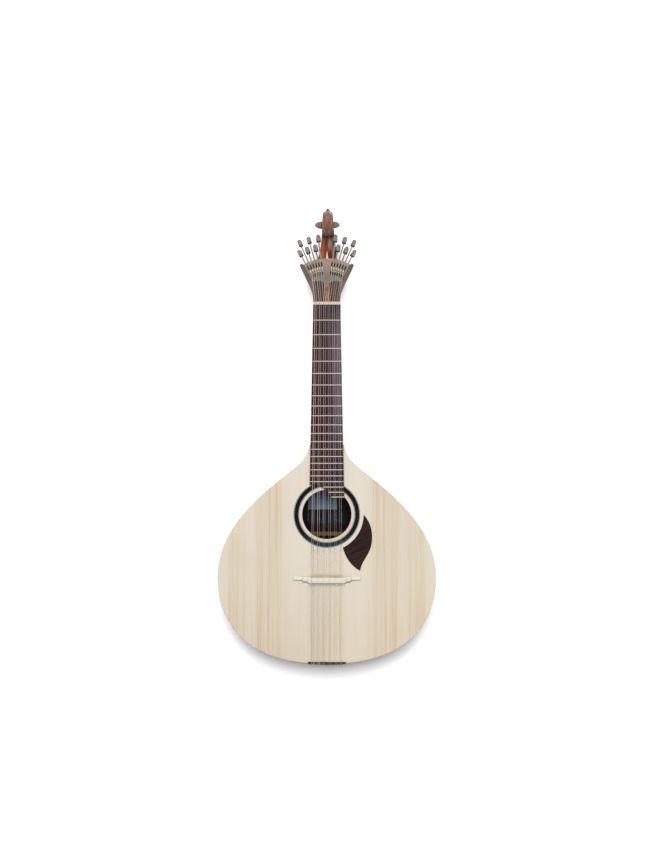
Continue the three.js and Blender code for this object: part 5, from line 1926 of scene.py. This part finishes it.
@dataclass
class FanMachine:
    """The fan tuning machine: slotted plate, bearing arc, twelve screws and their hooks."""

    rack: Rack
    thickness: float = 1.2
    lift: float = 0.3
    radius: float = FAN_RADIUS
    half_angle: float = FAN_HALF_ANGLE
    slot_half: float = 1.1
    slot_inner: float = 49.1
    slot_outer: float = 68.9
    bell: tuple[Pair, ...] = (
        (3.3, 0.0), (3.7, 0.8), (3.95, 2.4), (4.0, 5.6), (3.95, 8.2), (3.6, 10.4), (2.8, 12.0),
        (1.7, 12.95), (0.8, 13.3), (0.0, 13.4),
    )

    def plate(self) -> None:
        """Makes the plate with its twelve slots."""
        top = fan_arc(self.radius, self.half_angle, -self.half_angle, 36)
        bay = [(-9.5, 34.0), (-6.0, 32.6), (-3.17, 30.3), (0, 29.2), (3.17, 30.3), (6.0, 32.6)]
        outline = [(23.5, 34.7), *top, (-23.5, 34.7), *bay, (9.5, 34.0)]
        slots = []
        for angle in SPOKES:
            ends = []
            for radius, start in ((self.slot_outer, 180), (self.slot_inner, 360)):
                centre = fan_point(angle, radius)
                ends += arc(centre, self.slot_half, start - angle, start - 180 - angle, 8)
            slots.append(ends)
        stock = Stock().pierced(outline, slots, self.lift, self.lift + self.thickness)
        bmesh.ops.dissolve_limit(
            stock.mesh, angle_limit=0.001, verts=stock.mesh.verts[:], edges=stock.mesh.edges[:],
        )
        stock.ease(0.22, 2, 60, lambda p: p.z > self.lift + self.thickness - 0.01)
        stock.place(on_head())
        stock.done("fan_plate_slotted", self.rack["fan_nickel"], "fan_metal", replaces=["fan_plate"])

    def fixing_screws(self) -> None:
        """Makes the small slotted screws that hold the plate."""
        face = self.lift + self.thickness
        for number, (x, y) in enumerate(((-20.2, 38.0), (20.2, 38.0), (0, 33.6), (0, 69.4)), 1):
            dome = [(0, -0.6), (1.25, -0.6), (1.25, 0.1), (1.0, 0.42), (0.5, 0.6), (0, 0.64)]
            stock = Stock().turned(dome, 20)
            stock.slice(1, [-0.18, 0.18])

            def filed(point: Vector) -> Vector:
                """Files the slot across a screw's dome."""
                cut = abs(point.y) < 0.2 and point.z > 0.2
                return Vector((point.x, point.y, 0.2 if cut else point.z))

            turn = Matrix.Rotation(radians(37 * number), 4, "Z")
            stock.shape(filed).place(on_head() @ Matrix.Translation((x, y, face)) @ turn)
            stock.done(f"plate_screw_{number}", self.rack["rail_nickel"], "screw_metal")

    def grime(self, point: Vector, start: float) -> float:
        """Tells how much soiling and painted shade a place on a screw has.

        Args:
            point: the place, with Z along the screw.
            start: where the bell begins.

        Returns:
            -1 on the bright shaft, 0 on the clean bell, 1 in its darkest hollows and the thread.
        """
        height = point.z - start
        if point.z < 69:
            return 0.7
        if height < -0.1 or hypot(point.x, point.y) < 1.3 and height < 2:
            return -1.0
        turn = atan2(point.y, point.x)
        # painted shade: dark notches beside the shaft at the bell's foot, and soiling with painted
        # shade along the flutes
        notch = max(0.0, 1 - height / 2.4) * (0.5 - 0.5 * cos(4 * turn)) ** 0.5
        groove = (0.5 - 0.5 * cos(8 * turn)) ** 2 * max(0.0, 1 - height / 13)
        return min(1.0, notch * 1.8 + groove * 0.3)

    def screw(self, number: int, angle: float) -> None:
        """Makes one tuning screw with its thread, collars and fluted bell.

        Args:
            number: the screw's number from the bass side.
            angle: its angle from the middle line, in degrees.
        """
        long = round((abs(angle) - FIRST_SPOKE) / SPOKE_STEP) % 2 == 0
        start = 105.0 if long else 89.3
        line: list[Pair] = [(0, 45.6), (0.7, 45.7), (0.95, 46.3)]
        place = 46.6
        while place < 69.2:
            line += [(0.98, place), (0.78, place + 0.3)]
            place += 0.6
        line += [(0.95, 69.6), (1.5, 69.7), (1.6, 69.85), (1.6, 70.5), (1.5, 70.68)]
        line += [(1.05, 70.7), (1.05, 75.3), (1.5, 75.32), (1.6, 75.5), (1.6, 76.1), (1.5, 76.28)]
        line += [(1.2, 76.3), (1.2, start + 1.6), (2.5, start + 1.5), (2.75, start + 0.05)]
        bell = through(self.bell, 3)
        line += [(max(radius, 0), start + height) for radius, height in bell]
        stock = Stock().turned(line, 48)
        layer = stock.mesh.verts.layers.float.new(SOILING_AND_SHADE)
        for vert in stock.mesh.verts:
            vert[layer] = self.grime(vert.co, start)

        def fluted(point: Vector) -> Vector:
            """Cuts the flutes and notches into the bell.

            Args:
                point: a point of the bell.

            Returns:
                Its new place.
            """
            height = point.z - start
            span = max(0.0, min(1.0, (height + 0.4) / 0.4, (12.2 - height) / 3))
            reach = hypot(point.x, point.y)
            if reach < 2.4 or not span:
                return point
            turn = atan2(point.y, point.x)
            groove = 0.12 * span * (0.5 - 0.5 * cos(8 * turn)) ** 0.7
            notch = 0.22 * max(0.0, 1 - height / 2.2) * (0.5 - 0.5 * cos(4 * turn)) ** 2
            share = 1 - groove - notch
            return Vector((point.x * share, point.y * share, point.z))

        stock.shape(fluted).place(on_spoke(angle) @ LAID)
        stock.done(
            f"screw_{number}_threaded", self.rack["screw_steel"], "screw_metal",
            body=f"screw_{number}", replaces=[f"tuning_screw_{number}"],
        )

    def hook(self, number: int, angle: float) -> None:
        """Makes one hook: a bored block on the screw, its stem and its lip.

        Args:
            number: the hook's number from the bass side.
            angle: its screw's angle from the middle line, in degrees.
        """
        block = [(-1.4, -2.6), (1.4, -2.6), (1.4, 2.6), (-1.4, 2.6)]
        bore = [(1.22 * x, 1.22 * y) for x, y in arc((0, 0), 1, 0, 337.5, 15)]
        stock = Stock().pierced(block, [bore], -3, 3).ease(0.22, 2, 80)
        stock.place(LAID)
        side = [(-1.2, 2.4), (1.2, 2.4), (1.2, 7.0), (1.5, 7.35), (3.35, 7.5), (3.4, 8.1)]
        side += [(3.1, 8.4), (-0.8, 8.4), (-1.2, 8.0)]
        row = [Vector((-0.65, y, z)) for y, z in side]
        stem = Stock().loft([row, [point + Vector((1.3, 0, 0)) for point in row]])
        stem.ease(0.2, 2, 50)
        place = on_spoke(angle) @ Matrix.Translation((0, HOOK_REACH, 0))
        stock.add(stem).place(place)
        stock.done(
            f"hook_{number}_brass", self.rack["hook_brass"], "hook_brass", body=f"hook_{number}",
            replaces=[f"hook_{number}"],
        )

    def build(self) -> None:
        """Makes the whole machine."""
        self.plate()
        self.fixing_screws()
        dress(["fan_arc"], self.rack["fan_nickel"])
        for number, angle in enumerate(SPOKES, 1):
            self.screw(number, angle)
            self.hook(number, angle)


@dataclass
class Stringing:
    """The strings and what carries them at the tail end: bridge, rail and studs."""

    rack: Rack
    bridge_half: float = 53.75
    crest: float = 11.2
    foot: float = 90.1
    rail_low: float = 65.0
    rail_top: float = 80.0
    rail_half: float = 31.5
    rail_out: float = -2.0
    stud_height: float = 72.0

    def bridge_section(self, x: float) -> Section:
        """Gives the bridge's section at a distance from the middle line.

        Args:
            x: the distance.

        Returns:
            The section.
        """
        out = abs(x)
        tower = 0.4 * eased((40.5 - out) / 3.0) + 0.6 * eased((34.0 - out) / 7.0)
        fall = max(0.0, (out - 33) / (self.bridge_half - 33))
        wing = between(6.0, 3.4, 1 - (1 - fall) ** 2)
        bare = [(3.3, 0), (3.3, wing - 0.9), (2.6, wing), (-1.9, wing), (-2.6, wing - 0.2), (-2.6, 0)]
        high = [(4.2, 0), (4.2, 2), (0.7, self.crest), (-1.4, self.crest), (-7.5, 10.0), (-7.5, 0)]
        line = [
            (between(a[0], b[0], tower), between(a[1], b[1], tower)) for a, b in zip(bare, high)
        ]
        floor = 2.4 * max(0.0, 1 - (x / 13) ** 2)
        return [Vector((x, y, self.foot + max(z, floor))) for y, z in line]

    def bridge(self) -> None:
        """Makes the bridge."""
        places = [53.75, 53.3, 51, 48, 45, 42, 40.5, 39.5, 38.5, 37.5, 36, 34, 33, 32, 31, 30, 29]
        places += [28, 27, 24, 20, 16, 13, 12, 10.5, 9, 7, 5, 2.5]
        spread = [-x for x in places] + [0.0] + list(reversed(places))
        rows = [self.bridge_section(x) for x in spread]
        for row in (rows[0], rows[-1]):
            for point in row:
                if point.z > self.foot + 1:
                    point.z -= 0.4
        stock = Stock().loft(rows)
        stock.ease(0.35, 3, 38, lambda p: p.z > self.foot + 3)
        stock.done("bridge_bar", self.rack["bridge_maple"], "bridge_maple", replaces=["bridge"])

    def rail(self) -> None:
        """Makes the bent string rail and its headed studs."""
        half = self.rail_half
        xs = spread_over(half, 24)
        outer = [(x, rim_at(x, self.rail_out)) for x in xs]
        inner = [(x, rim_at(x, -0.3)) for x in reversed(xs)]
        stock = Stock().plate([*outer, *inner], self.rail_low, self.rail_top)
        stock.ease(0.4, 3, 50)
        finish = self.rack["rail_nickel"]
        stock.done("rail_band", finish, "rail_metal", replaces=["string_rail"])
        for index in range(12):
            x = stud_side(index)
            line = [(0, -0.8), (0.8, -0.8), (0.8, 2.0), (1.05, 2.12), (1.15, 2.3)]
            line += [(1.1, 2.5), (0.8, 2.6), (0, 2.62)]
            stud = Stock().turned(line, 16)
            face = Matrix.Translation((x, rim_at(x, self.rail_out), self.stud_height))
            stud.place(face @ Matrix.Rotation(pi / 2, 4, "X"))
            stud.done(f"rail_stud_{index + 1}", finish, "rail_metal")

    def knots(self, index: int) -> list[Vector]:
        """Gives the corners of a string's path, from its hook to its stud.

        Args:
            index: the string's number from the bass side, from 0.

        Returns:
            The corners in order.
        """
        radius = STRING_RADII[index]
        clear = radius + 0.2
        over = Matrix.Translation((0, HOOK_REACH, 1.5 + clear + SCREW_DROP))
        spoke = on_spoke(SPOKES[index]) @ over
        places = ((-1.3, -0.4), (-1, 0.6), (-0.5, 1.25), (0.5, 1.25), (1, 0.6), (1, -0.9))
        hook = [spoke @ Vector((x * (0.65 + clear), y * (1.2 + clear), 0)) for x, y in places]
        nut_x, bridge_x = string_side(index, NUT_COURSES), string_side(index, BRIDGE_COURSES)
        nut_z, bridge_z = 97.7 + radius, 101.32 + radius
        edge_z = 91.3 + radius
        tail = rim_at(bridge_x)
        stud_x = stud_side(index)
        loop = rim_at(stud_x) + self.rail_out - 1.05
        wrap = 0.8 + clear
        spots = [
            (nut_x, NECK_END, nut_z), (nut_x, SCALE_LENGTH, nut_z), (bridge_x, 0.7, bridge_z),
            (bridge_x, -1.4, bridge_z), (bridge_x, tail + 2.9, edge_z),
            (bridge_x, tail - 0.5 - clear / 2, edge_z), (stud_x + wrap / 2, loop, 81.15),
        ]
        for degrees in (10, -40, -90, -140, 170):
            turn = radians(degrees)
            height = self.stud_height + wrap * sin(turn)
            spots.append((stud_x + wrap * cos(turn), loop, height))
        return [*hook, *(Vector(spot) for spot in spots)]

    def string(self, index: int) -> None:
        """Makes one string with the loop on its hook and the twist under the loop.

        Args:
            index: the string's number from the bass side, from 0.
        """
        radius = STRING_RADII[index]
        knots = self.knots(index)
        path = eased_path(knots, 1.2, 3)
        tight = [path[0]]
        for point in path[1:]:
            if (point - tight[-1]).length > 0.02:
                tight.append(point)
        stock = Stock().loft(wire_sections(tight, radius, 10))
        start, end = knots[5], knots[6]
        along = (end - start).normalized()
        side = along.cross(Vector((0, 0, 1))).normalized()
        up = side.cross(along)
        turns, count, length = 6, 48, 7.0
        coil = []
        for i in range(count + 1):
            share = i / count
            turn = 2 * pi * turns * share
            reach = radius * 1.75
            spot = start + along * (1.0 + length * share)
            coil.append(spot + reach * (cos(turn) * side + sin(turn) * up))
        stock.add(Stock().loft(wire_sections(coil, radius * 0.7, 6)))
        wound = index in (0, 2, 4, 6, 7)
        finish = self.rack["wire_wound" if wound else "wire_plain"]
        name = f"string_{index + 1}"
        made = stock.done(f"{name}_wire", finish, "string_wire", body=None, replaces=[name])
        ends = [tuple(spot * MILLIMETRE) for spot in (knots[6], knots[2])]
        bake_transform(made)

    def build(self) -> None:
        """Strings the instrument."""
        self.bridge()
        self.rail()
        for index in range(12):
            self.string(index)


@dataclass
class Studio:
    """A plain pale floor, soft light from the head's end, and the camera above."""

    rack: Rack
    spot: Pair = (1.9, 246.7)
    distance: float = 3500.0
    lens: float = 92.04
    floor_half: float = 9000.0
    lamp_spot: tuple[float, float, float] = (0.0, 1.86, 5.0)
    lamp_width: float = 3.0
    lamp_power: float = 475.0

    def floor(self) -> None:
        """Lays the floor."""
        far = self.floor_half
        plan = [(-far, -far), (far, -far), (far, far), (-far, far)]
        floor = Stock().plate(plan, -20, -0.05)
        floor.lifted("studio_floor", self.rack["studio_floor"])

    def light(self) -> None:
        """Hangs a soft square lamp, placed in metres, that faces the instrument."""
        data = bpy.data.lights.new("sky_panel", "AREA")
        data.shape = "SQUARE"
        data.size = self.lamp_width
        data.energy = self.lamp_power
        lamp = linked("sky_panel", data)
        lamp.location = self.lamp_spot
        lamp.visible_glossy = False
        aim = Vector((0, 0.2, 0)) - Vector(self.lamp_spot)
        lamp.rotation_euler = aim.to_track_quat("-Z", "Y").to_euler()

    def camera(self) -> None:
        """Sets up the camera."""
        data = bpy.data.cameras.new("camera")
        data.sensor_fit = "AUTO"
        data.sensor_width = 36
        data.lens = self.lens
        data.clip_end = 100
        eye = linked("camera", data)
        eye.location = Vector((*self.spot, FRONT + self.distance)) * MILLIMETRE
        bpy.context.scene.camera = eye

    def build(self) -> None:
        """Sets the studio up."""
        self.floor()
        self.light()
        world = bpy.data.worlds.new("studio")
        world.use_nodes = True
        shade = world.node_tree.nodes["Background"]
        shade.inputs["Color"].default_value = (1, 1, 1, 1)
        shade.inputs["Strength"].default_value = SKY_LIGHT
        bpy.context.scene.world = world
        bpy.context.scene.view_settings.view_transform = "Standard"
        self.camera()


def main() -> None:
    """Builds the guitar and its studio."""
    logging.basicConfig(level=logging.INFO, format="%(message)s")
    rack = Rack()
    for part in (SoundBox, Neck, Head, FanMachine, Stringing, Studio):
        part(rack).build()


if __name__ == "__main__":
    main()
